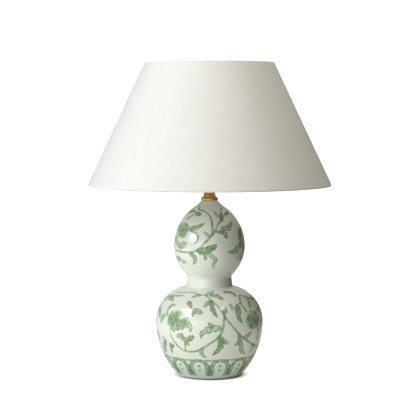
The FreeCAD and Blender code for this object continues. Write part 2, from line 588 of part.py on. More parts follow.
def make_socket():
    """The brass holder: domed cap, set screw, shell, card liner, insulator, threaded sleeve and contacts."""
    skirt, skirt_in = "socket_cap_radius", "socket_cap_radius - sheet_brass"
    dome_foot = "collar_height + dome_step"
    cap = lathe("socket_cap", [
        ("tube_radius", SOCKET_BASE), ("collar_radius", SOCKET_BASE),
        ("collar_radius", above("collar_height")), ("dome_foot_radius", above(dome_foot), "-dome_arc"),
        (skirt, above("dome_top")), (skirt, above("socket_cap_height")),
        (skirt_in, above("socket_cap_height")),
        (skirt_in, above("dome_top + sheet_brass / 2"), "(dome_arc - sheet_brass)"),
        ("dome_foot_radius - sheet_brass", above(f"{dome_foot} + sheet_brass")),
        ("tube_radius", above(f"{dome_foot} + sheet_brass")),
    ])
    screw_centre = ("0", above("set_screw_height"))
    hole = circle_sketch(cap, "set_screw_circle", "set_screw_radius", screw_centre, "XZ_Plane")
    cut(cap, "set_screw_hole", hole, "2 * collar_radius", "against")
    set_screw = lathe("set_screw", [
        ("0", "tube_radius"), ("set_screw_radius", "tube_radius"),
        ("set_screw_radius", "tube_radius + set_screw_length"), ("0", "tube_radius + set_screw_length"),
    ], pointing(above("set_screw_height"), 90))
    shell_in, bead = "shell_radius - shell_wall", above("socket_cap_height")
    shell = lathe("socket_shell", [
        (shell_in, above("shell_foot")), ("shell_radius", above("shell_foot")), ("shell_radius", bead),
        ("shell_bead_radius", f"{bead} + shell_bead_edge", "shell_bead_arc"),
        ("shell_bead_radius", f"{bead} + shell_bead_height - shell_bead_edge"),
        ("shell_radius", f"{bead} + shell_bead_height"),
        ("shell_radius", above("shell_top - shell_lip"), "shell_lip_arc"),
        ("shell_mouth_radius + shell_wall", above("shell_top")),
        ("shell_mouth_radius", above("shell_top - shell_wall")), (shell_in, above("shell_top - shell_lip")),
    ])
    front_hole = circle_sketch(shell, "nozzle_hole_circle", "nozzle_radius", ("0", SWITCH_HEIGHT), "XZ_Plane")
    cut(shell, "nozzle_hole", front_hole, "2 * shell_radius", "along")
    liner = lathe("socket_liner", [
        (f"{shell_in} - liner_wall", above("liner_foot")), (shell_in, above("liner_foot")),
        (shell_in, above("liner_top")), (f"{shell_in} - liner_wall", above("liner_top")),
    ])
    slack = "nozzle_radius + nozzle_slip"
    liner_hole = circle_sketch(liner, "liner_hole_circle", slack, ("0", SWITCH_HEIGHT), "XZ_Plane")
    cut(liner, "liner_hole", liner_hole, "2 * shell_radius", "along")
    return [cap, set_screw, shell, liner, make_insulator(), make_terminals(), *make_contacts(), make_nozzle()]


def make_insulator():
    """The moulded body that carries the contacts. The switch stem turns in its blind front hole."""
    body = new_body("socket_insulator")
    low, high = above("insulator_foot"), above("insulator_top")
    revolve(body, "Revolution", "moulding", [
        ("0", low), ("insulator_radius - insulator_bevel", low),
        ("insulator_radius", f"{low} + insulator_bevel"), ("insulator_radius", high), ("0", high),
    ])
    half, foot, head = "terminal_pocket", low, above("terminal_height + terminal_pocket")
    for side, sign, way in (("right", "", "along"), ("left", "-", "against")):
        flat = new_sketch(body, f"{side}_flat_outline", "YZ_Plane", raised(f"{sign}terminal_flat"))
        draw_outline(flat, [(f"-{half}", foot), (half, foot), (half, head), (f"-{half}", head)])
        cut(body, f"{side}_flat", flat, "insulator_radius", way)
    centre = ("0", above("terminal_height"))
    holes = circle_sketch(body, "terminal_hole_circle", "terminal_radius", centre, "YZ_Plane")
    cut(body, "terminal_holes", holes, "2 * insulator_radius")
    bore, centre = "stem_radius + stem_running", ("0", SWITCH_HEIGHT)
    blind_end = raised("stem_inner_end - stem_running")
    stem = circle_sketch(body, "stem_hole_circle", bore, centre, "XZ_Plane", blind_end)
    cut(body, "stem_hole", stem, "2 * insulator_radius", "along")
    return body


def make_terminals():
    """Two cheese-head screws, one each side, that grip the lead's bared ends."""
    inner, seat = "terminal_flat - terminal_length", "terminal_flat"
    corners = [
        ("0", inner), ("terminal_radius", inner), ("terminal_radius", seat), ("terminal_head_radius", seat),
        ("terminal_head_radius", f"{seat} + terminal_head"), ("0", f"{seat} + terminal_head"),
    ]
    right = lathe("terminal_right", corners, pointing(above("terminal_height"), 0))
    left = lathe("terminal_left", corners, pointing(above("terminal_height"), 180))
    pair = doc.addObject("Part::Compound", "terminal_screws")
    pair.Label = "terminal_screws"
    pair.Links = [right, left]
    return pair


def make_contacts():
    """The bulb's threaded sleeve, rolled in even rings, and the raised brass spring under the bulb's tip."""
    base, inside = "insulator_top", "thread_radius - thread_wall"
    sleeve = lathe("thread_sleeve", [
        ("thread_floor_hole", above(base)), ("thread_radius", above(base)),
        ("thread_radius", above("thread_top")), (inside, above("thread_top")),
        (inside, above(f"{base} + thread_wall")), ("thread_floor_hole", above(f"{base} + thread_wall")),
    ])
    low, crest, thick = above(base), above(f"{base} + contact_rise"), "contact_sheet"
    spring = new_body("centre_contact")
    strip = new_sketch(spring, "spring_outline")
    draw_outline(strip, [
        ("-contact_foot", low), ("-contact_bend", low), ("-contact_crest", f"{crest} - {thick}"),
        ("contact_crest", f"{crest} - {thick}"), ("contact_tip", f"{low} + {thick}"),
        (f"contact_tip + {thick}", f"{low} + {thick}"), (f"contact_crest + {thick}", crest),
        (f"-(contact_crest + {thick})", crest), (f"-(contact_bend + {thick} / 2)", f"{low} + {thick}"),
        ("-contact_foot", f"{low} + {thick}"),
    ])
    pad(spring, "spring", strip, "contact_width", "both")
    return [sleeve, spring]


def make_nozzle():
    """The short brass bush that guides the switch stem through the holder's side."""
    bore = "stem_radius + stem_running"
    return lathe("switch_nozzle", [
        (bore, "insulator_radius"), ("nozzle_radius", "insulator_radius"),
        ("nozzle_radius", "nozzle_outer_end - nozzle_bevel"),
        ("nozzle_radius - nozzle_bevel", "nozzle_outer_end"), (bore, "nozzle_outer_end"),
    ], pointing(SWITCH_HEIGHT, 270))


# ---- the turn switch -------------------------------------------------------------------------------------

def make_switch():
    stem = lathe("switch_stem", [
        ("0", "stem_inner_end"), ("stem_radius", "stem_inner_end"), ("stem_radius", "stem_outer_end"),
        ("0", "stem_outer_end"),
    ], pointing(SWITCH_HEIGHT, 270))
    knob = new_body("switch_knob")
    revolve(knob, "Revolution", "knob_blank", [
        ("stem_radius", "knob_back"), ("knob_radius - knob_waist", "knob_back"),
        ("knob_radius", "knob_back + knob_shoulder"), ("knob_radius", "knob_face - knob_round", "knob_round"),
        ("knob_radius - knob_round", "knob_face"), ("knob_radius - knob_round - knob_rim", "knob_face"),
        ("0", "knob_face - knob_dish"), ("0", "stem_outer_end"), ("stem_radius", "stem_outer_end"),
    ])
    centre = ("knob_radius + flute_radius - flute_depth", "0")
    flute = circle_sketch(knob, "flute_circle", "flute_radius", centre, offset=raised("knob_face"))
    groove = cut(knob, "flute", flute, "flute_length", "against")
    flutes = knob.newObject("PartDesign::PolarPattern", "flutes")
    flutes.Originals = [groove]
    flutes.Axis = (next(f for f in knob.Origin.OriginFeatures if f.Role == "Z_Axis"), [""])
    flutes.Angle = 360
    flutes.Occurrences = int(value("knob_flutes"))
    knob.Tip = flutes
    knob.Placement = pointing(SWITCH_HEIGHT, 270)
    return [stem, knob]


# ---- the harp and its sleeves ----------------------------------------------------------------------------

def make_harp():
    """One bent wire: a flat tab behind each prong, an upright leg for the sleeve, then the wide bow."""
    tab_low = f"{PRONG_SHOULDER} + foot_tab_gap"
    tab_high = f"{tab_low} + foot_tab_height"
    leg = "prong_offset - foot_tab_thickness / 2"
    harp = new_body("harp_bow")
    path = new_sketch(harp, "bow_path")
    draw_path(path, [
        (leg, tab_high), (leg, "harp_straight_top", "harp_foot_bend"),
        ("harp_widest", "harp_swell_low", "harp_low_bend"),
        ("harp_widest", "harp_swell_high", "harp_high_bend"),
        ("harp_crown_half", "harp_crown_height", "harp_crown_bend"), ("0", "harp_crown_height"),
    ])
    section = circle_sketch(harp, "wire_circle", "wire_radius", (leg, "0"), offset=raised(tab_high))
    bow = pipe(harp, "half_bow", path, section)
    tab = new_sketch(harp, "tab_outline", "YZ_Plane", raised("prong_offset - foot_tab_thickness"))
    half, tip = "prong_width / 2", "foot_tab_taper / 2"
    draw_outline(tab, [
        (f"-{half}", tab_low), (half, tab_low), (half, f"{tab_high} - {tip}"), (tip, f"{tab_high} + {tip}"),
        (f"-{tip}", f"{tab_high} + {tip}"), (f"-{half}", f"{tab_high} - {tip}"),
    ])
    foot = pad(harp, "foot_tab", tab, "foot_tab_thickness")
    both = harp.newObject("PartDesign::Mirrored", "both_halves")
    both.Originals = [bow, foot]
    both.MirrorPlane = (next(f for f in harp.Origin.OriginFeatures if f.Role == "YZ_Plane"), [""])
    harp.Tip = both
    return [harp, make_harp_seat(), make_ferrule("ferrule_left", -1), make_ferrule("ferrule_right", 1)]


def make_ferrule(label, side):
    """A sleeve with a rim at each end that drops over a prong and the harp's tab and locks them together."""
    low, high, waist = PRONG_SHOULDER, f"{PRONG_SHOULDER} + sleeve_height", "sleeve_radius - sleeve_waist"
    return lathe(label, [
        ("sleeve_bore", low), ("sleeve_radius", low), ("sleeve_radius", f"{low} + sleeve_rim"),
        (waist, f"{low} + sleeve_rim + sleeve_waist"), (waist, f"{high} - sleeve_rim - sleeve_waist"),
        ("sleeve_radius", f"{high} - sleeve_rim"), ("sleeve_radius", high), ("sleeve_bore", high),
    ], Placement(Vector(side * value("prong_offset"), 0, 0), Rotation()))


def make_harp_seat():
    """The boss swaged on the harp's crown, with the stud that takes the shade and the finial."""
    body = new_body("harp_seat")
    low = "harp_crown_height - seat_below"
    revolve(body, "Revolution", "boss_and_stud", [
        ("0", low), ("seat_radius - seat_bevel", low), ("seat_radius", f"{low} + seat_bevel"),
        ("seat_radius", HARP_SEAT), ("stud_radius", HARP_SEAT),
        ("stud_radius", f"{HARP_SEAT} + stud_length - seat_bevel"),
        ("stud_radius - seat_bevel", f"{HARP_SEAT} + stud_length"), ("0", f"{HARP_SEAT} + stud_length"),
    ])
    wire = circle_sketch(body, "wire_way_circle", "wire_radius", ("0", "harp_crown_height"), "YZ_Plane")
    cut(body, "wire_way", wire, "4 * seat_radius")
    return body


# ---- the bulb --------------------------------------------------------------------------------------------

def make_bulb():
    """A pear-shaped bulb. Its sizes run up from the tip, which sits on the centre contact."""
    def up(formula):
        return f"{BULB_TIP} + {formula}"

    globe, wall, neck = "globe_radius", "globe_wall", "neck_glass_radius"
    middle = f"(bulb_length - {globe})"
    drop = f"({middle} - neck_glass_height)"
    flare = f"(({neck} ^ 2 + {drop} ^ 2 - {globe} ^ 2) / (2 * ({globe} - {neck})))"
    lean = f"atan({drop} / ({neck} + {flare}))"
    cap_in, stem_in = "bulb_cap_radius - bulb_cap_wall", f"bulb_cap_radius - bulb_cap_wall - {wall}"
    tucked, clear = up("bulb_cap_height - glass_tuck"), up("bulb_cap_height + glass_clear")

    def shoulder(inset):
        return (f"({globe} - {inset}) * cos({lean})", up(f"{middle} - ({globe} - {inset}) * sin({lean})"))

    glass = lathe("bulb_glass", [
        (cap_in, tucked), (cap_in, clear),
        (neck, up("neck_glass_height"), f"-{flare}"), (*shoulder("0"), globe),
        (globe, up(middle), globe), ("0", up("bulb_length")),
        ("0", up(f"bulb_length - {wall}"), f"-({globe} - {wall})"),
        (f"{globe} - {wall}", up(middle), f"-({globe} - {wall})"), (*shoulder(wall), f"({flare} + {wall})"),
        (f"{neck} - {wall}", up("neck_glass_height")),
        (stem_in, clear), (stem_in, tucked),
    ])
    foot, insulated = up("bulb_cap_foot"), "bulb_insulator_radius"
    cap = lathe("bulb_cap", [
        (insulated, foot), (f"{insulated} + bulb_cap_bevel", foot),
        ("bulb_cap_radius", f"{foot} + bulb_cap_shoulder"), ("bulb_cap_radius", up("bulb_cap_height")),
        (cap_in, up("bulb_cap_height")), (cap_in, f"{foot} + bulb_cap_shoulder + bulb_cap_wall / 2"),
        (insulated, f"{foot} + bulb_cap_wall"),
    ])
    insulator = lathe("bulb_insulator", [
        ("0", up("bulb_tip_height")), ("bulb_tip_radius", up("bulb_tip_height")), (insulated, foot),
        (insulated, up("bulb_tip_height + bulb_insulator_height")),
        ("0", up("bulb_tip_height + bulb_insulator_height")),
    ])
    tip = lathe("bulb_tip", [
        ("0", BULB_TIP), ("bulb_tip_flat", BULB_TIP, "bulb_tip_arc"),
        ("bulb_tip_radius", up("bulb_tip_height")), ("0", up("bulb_tip_height")),
    ])
    stem = lathe("bulb_stem", [
        ("0", tucked), (stem_in, tucked), (stem_in, f"{tucked} + stem_flare / 8"),
        ("stem_glass_radius", f"{tucked} + stem_flare"),
        ("stem_pinch_radius", up("stem_glass_top")), ("0", up("stem_glass_top")),
    ])
    return [glass, cap, insulator, tip, stem, make_filament(up)]


def make_filament(up):
    """Two lead-in wires that rise from the stem and carry the filament across in a shallow arch."""
    body = new_body("bulb_filament")
    path = new_sketch(body, "filament_path")
    foot, turn, hook = up("stem_glass_top"), up("stem_glass_top + lead_rise"), up("filament_height")
    draw_path(path, [
        ("-lead_spread", foot), ("-lead_spread", turn, "lead_bend"),
        ("-filament_radius", hook, "filament_hook"), ("0", f"{hook} + filament_sag", "filament_arch"),
        ("filament_radius", hook, "filament_hook"),
        ("lead_spread", turn, "lead_bend"), ("lead_spread", foot),
    ])
    start = ("-lead_spread", "0")
    section = circle_sketch(body, "filament_circle", "filament_wire", start, offset=raised(foot))
    pipe(body, "wires", path, section)
    return body


# ---- the shade -------------------------------------------------------------------------------------------
# Linen is wrapped over a wire ring at each end. The lean is the wall's slope from upright, and every point
# near a ring is found by going round the wire's centre from the wall's outward square.

def round_ring(radius, height, distance, angle):
    """A point at a distance from a ring wire's centre, at an angle up from level outwards."""
    return (f"{radius} + ({distance}) * cos({angle})", f"{height} + ({distance}) * sin({angle})")


def along_wall(radius, height, depth, margin):
    """A point beside a ring: a depth in from the linen's face and a margin up along the wall."""
    across = f"{radius} + ({HEM_RADIUS} - ({depth})) * cos({SHADE_LEAN}) - ({margin}) * sin({SHADE_LEAN})"
    up = f"{height} + ({HEM_RADIUS} - ({depth})) * sin({SHADE_LEAN}) + ({margin}) * cos({SHADE_LEAN})"
    return (across, up)


def make_hem(label, radius, height, sense):
    """The linen's edge rolled round the ring wire, '+' upwards and over or '-' downwards and under.

    The roll is drawn in short straight runs. The inner ones touch the wire and don't enter it: their corners
    are where its tangents cross.
    """
    def turned(step):
        return f"{SHADE_LEAN} {sense} {step} * hem_wrap / hem_sides * 1deg"

    sides = int(value("hem_sides"))
    crossing = "ring_wire_radius / cos(hem_wrap / hem_sides / 2 * 1deg)"
    outer = [round_ring(radius, height, HEM_RADIUS, turned(step)) for step in range(sides + 1)]
    inner = [round_ring(radius, height, crossing, turned(step - 0.5)) for step in range(sides, 0, -1)]
    last = round_ring(radius, height, "ring_wire_radius", turned(sides))
    first = round_ring(radius, height, "ring_wire_radius", SHADE_LEAN)
    return lathe(label, [*outer, last, *inner, first])


def make_wall(label, depth, thickness, margin):
    """A cone of sheet between the rings, a depth in from the face, stopping a margin short of each ring."""
    low, high = (LOW_RING_RADIUS, LOW_RING_HEIGHT), (HIGH_RING_RADIUS, HIGH_RING_HEIGHT)
    behind = f"{depth} + {thickness}"
    return lathe(label, [
        along_wall(*low, depth, margin), along_wall(*high, depth, f"-({margin})"),
        along_wall(*high, behind, f"-({margin})"), along_wall(*low, behind, margin),
    ])


def make_spider():
    """The hub plate on the stud and three wire arms that climb to the top ring and end against it."""
    body = new_body("spider_blank")
    revolve(body, "Revolution", "hub", [
        ("hub_bore", HUB_UNDERSIDE), ("hub_radius", HUB_UNDERSIDE), ("hub_radius", HUB_TOP),
        ("hub_bore", HUB_TOP),
    ])
    path = new_sketch(body, "arm_path")
    draw_path(path, [(ARM_FOOT, ARM_LEVEL), ("arm_drop_reach", ARM_LEVEL, "arm_bend_radius"),
                     (HIGH_RING_RADIUS, HIGH_RING_HEIGHT)])
    section = circle_sketch(body, "arm_circle", "arm_radius", ("0", ARM_LEVEL), "YZ_Plane", raised(ARM_FOOT))
    arm = pipe(body, "arm", path, section)
    arms = body.newObject("PartDesign::PolarPattern", "three_arms")
    arms.Originals = [arm]
    arms.Axis = (next(f for f in body.Origin.OriginFeatures if f.Role == "Z_Axis"), [""])
    arms.Angle = 360
    arms.Occurrences = int(value("arms"))
    body.Tip = arms
    body.Placement = Placement(Vector(0, 0, 0), Rotation(Vector(0, 0, 1), 90))
    return body


def ring(label, radius, height, thickness="ring_wire_radius"):
    torus = doc.addObject("Part::Torus", label)
    torus.Label = label
    torus.Radius1 = value(radius)
    torus.setExpression("Radius1", on_sheet(radius))
    torus.Radius2 = value(thickness)
    torus.setExpression("Radius2", on_sheet(thickness))
    torus.Placement = Placement(Vector(0, 0, value(height)), Rotation())
    return torus


def cut_away(label, base, tool):
    feature = doc.addObject("Part::Cut", label)
    feature.Label = label
    feature.Base = base
    feature.Tool = tool
    return feature


def make_shade():
    low, high = (LOW_RING_RADIUS, LOW_RING_HEIGHT), (HIGH_RING_RADIUS, HIGH_RING_HEIGHT)
    linen = make_wall("shade_fabric", "0", "fabric", "0")
    lining = make_wall("shade_lining", "fabric", "lining", "lining_margin")
    low_ring, high_ring = ring("bottom_ring", *low), ring("top_ring", *high)
    spider = cut_away("spider", make_spider(), ring("ring_tool", *high))
    notch = new_body("arm_notches")
    reach = circle_sketch(notch, "notch_circle", "arm_radius + notch_slip", offset=notch_placement())
    pad(notch, "notch", reach, "notch_length", "against")
    doc.recompute()
    turned = [notch.Shape.rotated(Vector(), Vector(0, 0, 1), 90 + 360 * k / value("arms"))
              for k in range(int(value("arms")))]
    cutters = doc.addObject("Part::Feature", "hem_notches")
    cutters.Shape = Part.makeCompound(turned)
    top_hem = cut_away("top_hem", make_hem("top_hem_whole", *high, "+"), cutters)
    return [linen, lining, low_ring, high_ring, make_hem("bottom_hem", *low, "-"), top_hem, spider]


def notch_placement():
    """At the top ring's centre on +X, with Z along the spider arm's last run, outwards."""
    reach = value(HIGH_RING_RADIUS) - value("arm_drop_reach")
    climb = value(HIGH_RING_HEIGHT) - value(ARM_LEVEL)
    end = Vector(value(HIGH_RING_RADIUS), 0, value(HIGH_RING_HEIGHT))
    return Placement(end, Rotation(Vector(0, 0, 1), Vector(reach, 0, climb)))


# ---- the finial ------------------------------------------------------------------------------------------

def make_finial():
    """A small turned knob, tapped for the harp's stud, low enough to stay below the shade's rim."""
    base, ball = FINIAL_FOOT, "finial_ball_radius"
    bore, depth = "stud_radius + finial_slip", f"{base} + finial_bore_depth"
    ball_centre = f"{base} + finial_waist_height + finial_ball_rise"
    return lathe("finial", [
        (bore, base), ("finial_foot_radius - finial_foot_bevel", base),
        ("finial_foot_radius", f"{base} + finial_foot_bevel"),
        ("finial_foot_radius", f"{base} + finial_foot_height", "-finial_cove"),
        ("finial_waist_radius", f"{base} + finial_waist_height", ball),
        (ball, ball_centre, ball), ("0", f"{ball_centre} + {ball}"), ("0", depth), (bore, depth),
    ])


# ---- everything, checked and written ---------------------------------------------------------------------

pieces = [make_gourd(), *make_base(), *make_brass(), make_saddle(), *make_socket(), *make_switch(),
          *make_harp(), *make_bulb(), *make_shade(), make_finial()]
doc.recompute()
failed = [o.Label for o in doc.Objects if "Invalid" in o.State or "Error" in o.State]
if failed:
    raise RuntimeError(f"these objects failed to build: {failed}")
os.makedirs("parts", exist_ok=True)
for old in os.listdir("parts"):
    os.remove(os.path.join("parts", old))
for piece in pieces:
    shape = piece.Shape
    if shape.isNull() or not shape.isValid() or not shape.Solids:
        raise RuntimeError(f"{piece.Label} is not a valid solid")
    shape.exportStep(f"parts/{piece.Label}.step")
    print(f"{piece.Label}: {shape.Volume / 1000:.2f} cm3, {len(shape.Faces)} faces")
print(f"{len(pieces)} sub-parts")
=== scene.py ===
# %% [markdown]
# # A painted double-gourd table lamp
# The lamp is a glazed porcelain vase with two bulbs, painted with vines in green, under a wide linen
# shade. The solids come from the CAD model, in metres, and are the frame that everything here is fitted to.
# This script gives each solid its look: a smooth glaze, brush strokes, cloth, brass and glass.

import json
import math
import random

import bmesh
import bpy
import numpy as np
from mathutils import Matrix, Vector


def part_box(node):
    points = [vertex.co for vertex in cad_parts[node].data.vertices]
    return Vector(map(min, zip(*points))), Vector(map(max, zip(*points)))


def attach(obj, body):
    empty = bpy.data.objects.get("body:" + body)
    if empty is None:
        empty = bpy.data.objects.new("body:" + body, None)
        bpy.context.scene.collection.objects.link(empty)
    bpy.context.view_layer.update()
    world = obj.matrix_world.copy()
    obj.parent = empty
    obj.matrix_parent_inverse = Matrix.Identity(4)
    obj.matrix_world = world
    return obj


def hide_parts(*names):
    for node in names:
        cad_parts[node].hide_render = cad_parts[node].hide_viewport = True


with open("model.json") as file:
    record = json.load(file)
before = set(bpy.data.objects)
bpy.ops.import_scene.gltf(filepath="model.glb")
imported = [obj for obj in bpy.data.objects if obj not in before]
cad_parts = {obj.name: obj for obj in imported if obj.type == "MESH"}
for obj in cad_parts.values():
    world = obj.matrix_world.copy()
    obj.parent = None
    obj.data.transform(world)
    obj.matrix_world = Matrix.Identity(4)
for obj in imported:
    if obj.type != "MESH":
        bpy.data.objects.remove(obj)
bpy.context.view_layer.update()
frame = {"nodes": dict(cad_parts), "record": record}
MM = 0.001
nodes = frame["nodes"]
bodies = frame["record"]["behaviour"]["bodies"]
body_of = {node: body for body, members in bodies.items() for node in members}
print(f"{len(nodes)} CAD nodes on {len(bodies)} bodies")

# %% [markdown]
# ## Shader maths as Python
# A material is a small graph. Written node by node it is hard to read, so a Wire wraps one output socket and
# turns +, - and * into Math nodes. A Finish is one material: its node method makes any other node.

# %% A wire and a finish


class Wire:
    """One number in a material's graph. Arithmetic on it adds Math nodes."""

    def __init__(self, finish, socket):
        self.finish, self.socket = finish, socket

    def maths(self, operation, *values):
        return self.finish.node("ShaderNodeMath", {"operation": operation}, dict(enumerate(values)))

    def __add__(self, other):
        return self.maths("ADD", self, other)

    def __sub__(self, other):
        return self.maths("SUBTRACT", self, other)

    def __rsub__(self, other):
        return self.maths("SUBTRACT", other, self)

    def __mul__(self, other):
        return self.maths("MULTIPLY", self, other)

    __radd__, __rmul__ = __add__, __mul__

    def sine(self):
        return self.maths("SINE", self)

    def size(self):
        return self.maths("ABSOLUTE", self)

    def power(self, exponent):
        return self.maths("POWER", self, exponent)

    def least(self, other):
        return self.maths("MINIMUM", self, other)

    def most(self, other):
        return self.maths("MAXIMUM", self, other)

    def ramp(self, low, high):
        """0 below low and 1 above high, with a soft step between. low may be the larger, to turn it round."""
        step = self.finish.node("ShaderNodeMapRange", {"interpolation_type": "SMOOTHSTEP"},
                                {"Value": self, "From Min": min(low, high), "From Max": max(low, high)})
        return step if low < high else 1 - step


class Finish:
    """One procedural material."""

    def __init__(self, name):
        self.material = bpy.data.materials.new(name)
        self.material.use_nodes = True
        self.tree = self.material.node_tree
        self.tree.nodes.clear()

    def node(self, kind, settings=None, values=None, output=0):
        """Adds a node: its settings first, then its sockets, each a Wire, a number or a colour."""
        made = self.tree.nodes.new(kind)
        for name, setting in (settings or {}).items():
            setattr(made, name, setting)
        for name, value in (values or {}).items():
            if isinstance(value, Wire):
                self.tree.links.new(value.socket, made.inputs[name])
            else:
                made.inputs[name].default_value = value
        return Wire(self, made.outputs[output])

    def place(self):
        return self.node("ShaderNodeTexCoord", output="Object")

    def axis(self, vector, letter):
        return self.node("ShaderNodeSeparateXYZ", values={"Vector": vector}, output=letter)

    def attribute(self, name):
        return self.node("ShaderNodeAttribute", {"attribute_name": name}, output="Fac")

    def noise(self, size, detail=2.0, rough=0.5, stretch=(1, 1, 1), vector=None):
        """Smooth noise from 0 to 1, whose lumps are about size metres across."""
        where = self.node("ShaderNodeVectorMath", {"operation": "MULTIPLY"},
                          {0: vector or self.place(), 1: tuple(s / size for s in stretch)})
        return self.node("ShaderNodeTexNoise", {"noise_dimensions": "3D"},
                         {"Vector": where, "Scale": 1.0, "Detail": detail, "Roughness": rough}, "Fac")

    def blend(self, factor, first, second):
        """first where the factor is 0, second where it is 1. Each is a colour."""
        return self.node("ShaderNodeMix", {"data_type": "RGBA", "clamp_factor": True},
                         {"Factor": factor, 6: first, 7: second}, 2)

    def bump(self, height, depth):
        """A normal that rises by depth, in metres, where height is 1."""
        return self.node("ShaderNodeBump", values={"Height": height, "Distance": depth}, output="Normal")

    def surface(self, **sockets):
        """The shader. Names are the Principled sockets' own, with _ for a space."""
        values = {name.replace("_", " "): value for name, value in sockets.items()}
        shader = self.node("ShaderNodeBsdfPrincipled", values=values)
        output = self.tree.nodes.new("ShaderNodeOutputMaterial")
        self.tree.links.new(shader.socket, output.inputs["Surface"])
        return self.material


def rgb(red, green, blue):
    """A screen colour of 0 to 255 as the linear colour that a shader takes."""
    shares = [value / 255 for value in (red, green, blue)]
    return (*(((c + 0.055) / 1.055) ** 2.4 if c > 0.04 else c / 12.92 for c in shares), 1.0)


# %% [markdown]
# ## Finishes for the small parts
# Brass, steel, rubber, card and moulding differ in colour and gloss but wear alike: the colour clouds a little
# and the gloss breaks up. One recipe makes them all from a few numbers.

# %% Metals, rubber, card and moulding


def worn(name, colour, dark, roughness, metallic, grain, depth):
    """A finish that clouds from colour to dark, with a fine grain of the given size and depth in metres."""
    finish = Finish(name)
    cloud = finish.noise(grain * 18, 3.0, 0.6).ramp(0.35, 0.75)
    fine = finish.noise(grain, 2.0, 0.5)
    return finish.surface(
        Base_Color=finish.blend(cloud * 0.7 + fine * 0.2, rgb(*colour), rgb(*dark)), Metallic=metallic,
        Roughness=roughness + (fine - 0.5) * 0.16 + cloud * 0.08, Normal=finish.bump(fine, depth))


finishes = {
    "brass": worn("satin_brass", (240, 196, 112), (182, 132, 60), 0.27, 1.0, 0.0009, 0.00002),
    "zinc_steel": worn("zinc_steel", (186, 188, 190), (140, 143, 146), 0.34, 1.0, 0.0008, 0.00002),
    "rubber": worn("black_rubber", (38, 38, 38), (22, 22, 22), 0.62, 0.0, 0.0006, 0.00004),
    "clear_grommet": worn("clouded_plastic", (196, 198, 192), (166, 168, 160), 0.3, 0.0, 0.0012, 0.00002),
    "card": worn("insulating_card", (172, 140, 96), (140, 110, 72), 0.8, 0.0, 0.0005, 0.00004),
    "moulding": worn("black_moulding", (34, 30, 27), (20, 18, 16), 0.35, 0.0, 0.0008, 0.00002),
    "sheet_contact": worn("spring_brass", (214, 178, 112), (150, 118, 66), 0.25, 1.0, 0.0008, 0.00001),
    "ring_wire": worn("ring_wire", (206, 206, 202), (170, 170, 168), 0.4, 1.0, 0.0008, 0.00002),
    "bulb_metal": worn("bulb_nickel", (204, 202, 196), (160, 158, 152), 0.22, 1.0, 0.0009, 0.00001),
    "bulb_black_glass": worn("black_glass", (16, 16, 18), (8, 8, 9), 0.12, 0.0, 0.002, 0.00001),
    "bulb_stem": worn("stem_glass", (214, 220, 216), (190, 198, 194), 0.08, 0.0, 0.004, 0.00001),
    "filament": worn("tungsten_wire", (120, 112, 104), (90, 84, 78), 0.4, 1.0, 0.0004, 0.00001),
}
print("finishes:", ", ".join(sorted(finishes)))

# %% [markdown]
# The bulb is opal glass: a white skin that light soaks into, under a polished outside.

# %% Opal glass
opal = Finish("opal_glass")
opal_cloud = opal.noise(0.02, 2.0)
finishes["bulb_glass"] = opal.surface(
    Base_Color=opal.blend(opal_cloud, rgb(244, 243, 238), rgb(232, 231, 226)),
    Roughness=0.16 + opal_cloud * 0.06, Subsurface_Weight=0.25, Subsurface_Radius=(0.004, 0.004, 0.003),
    Normal=opal.bump(opal.noise(0.006), 0.00002))

# %% [markdown]
# ## Smooth copies of the CAD parts
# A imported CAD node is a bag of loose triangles, so it would show flat facets. A copy whose doubled corners
# are merged can be shaded smooth, except at real edges, and it stands for the node.

# %% Put a piece on its body


def settle(piece, body, slot, finish=None, stands_for=()):
    """Puts a piece on its body with the given finish, or the slot's, and hides the nodes it stands for."""
    piece.data.materials.clear()
    piece.data.materials.append(finish or finishes[slot])
    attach(piece, body)
    if stands_for:
        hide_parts(*stands_for)
    return piece


def new_piece(name, mesh):
    piece = bpy.data.objects.new(name, mesh)
    bpy.context.scene.collection.objects.link(piece)
    return piece


def smooth_copy(node, slot, edge=35):
    """A merged copy of a node, smooth except where it turns by more than edge degrees."""
    mesh = nodes[node].data.copy()
    shape = bmesh.new()
    shape.from_mesh(mesh)
    bmesh.ops.remove_doubles(shape, verts=shape.verts, dist=1e-6)
    shape.to_mesh(mesh)
    shape.free()
    mesh.shade_smooth()
    mesh.set_sharp_from_angle(angle=math.radians(edge))
    return settle(new_piece(f"smooth_{node}", mesh), body_of[node], slot, stands_for=[node])


# %% Copy the hardware
HARDWARE = {
    "brass": ["vase_cap", "neck", "harp_saddle", "socket_cap", "set_screw", "socket_shell", "terminal_screws",
              "switch_nozzle", "switch_stem", "switch_knob", "harp_bow", "harp_seat", "ferrule_left",
              "ferrule_right", "spider", "finial"],
    "zinc_steel": ["bottom_washer", "bottom_nut", "lamp_tube"],
    "rubber": ["mouth_bush"],
    "clear_grommet": ["cord_grommet"],
    "card": ["socket_liner"],
    "moulding": ["socket_insulator"],
    "sheet_contact": ["thread_sleeve", "centre_contact"],
    "ring_wire": ["bottom_ring", "top_ring"],
    "bulb_glass": ["bulb_glass"],
    "bulb_metal": ["bulb_tip"],
    "bulb_black_glass": ["bulb_insulator"],
    "bulb_stem": ["bulb_stem"],
    "filament": ["bulb_filament"],
}
for slot, members in HARDWARE.items():
    for node in members:
        smooth_copy(node, slot)
print(f"{sum(map(len, HARDWARE.values()))} smooth copies")

# %% [markdown]
# ## The vase
# A slip-cast gourd is a turned form: one outline spun about its axis. Each bulb is two arcs that meet at its
# widest circle, the waist is a short cone with a rounded crease at each end, and the lip flares back out.
# The wall is even, so the cavity has the same arcs drawn in by the wall. Sizes are millimetres.

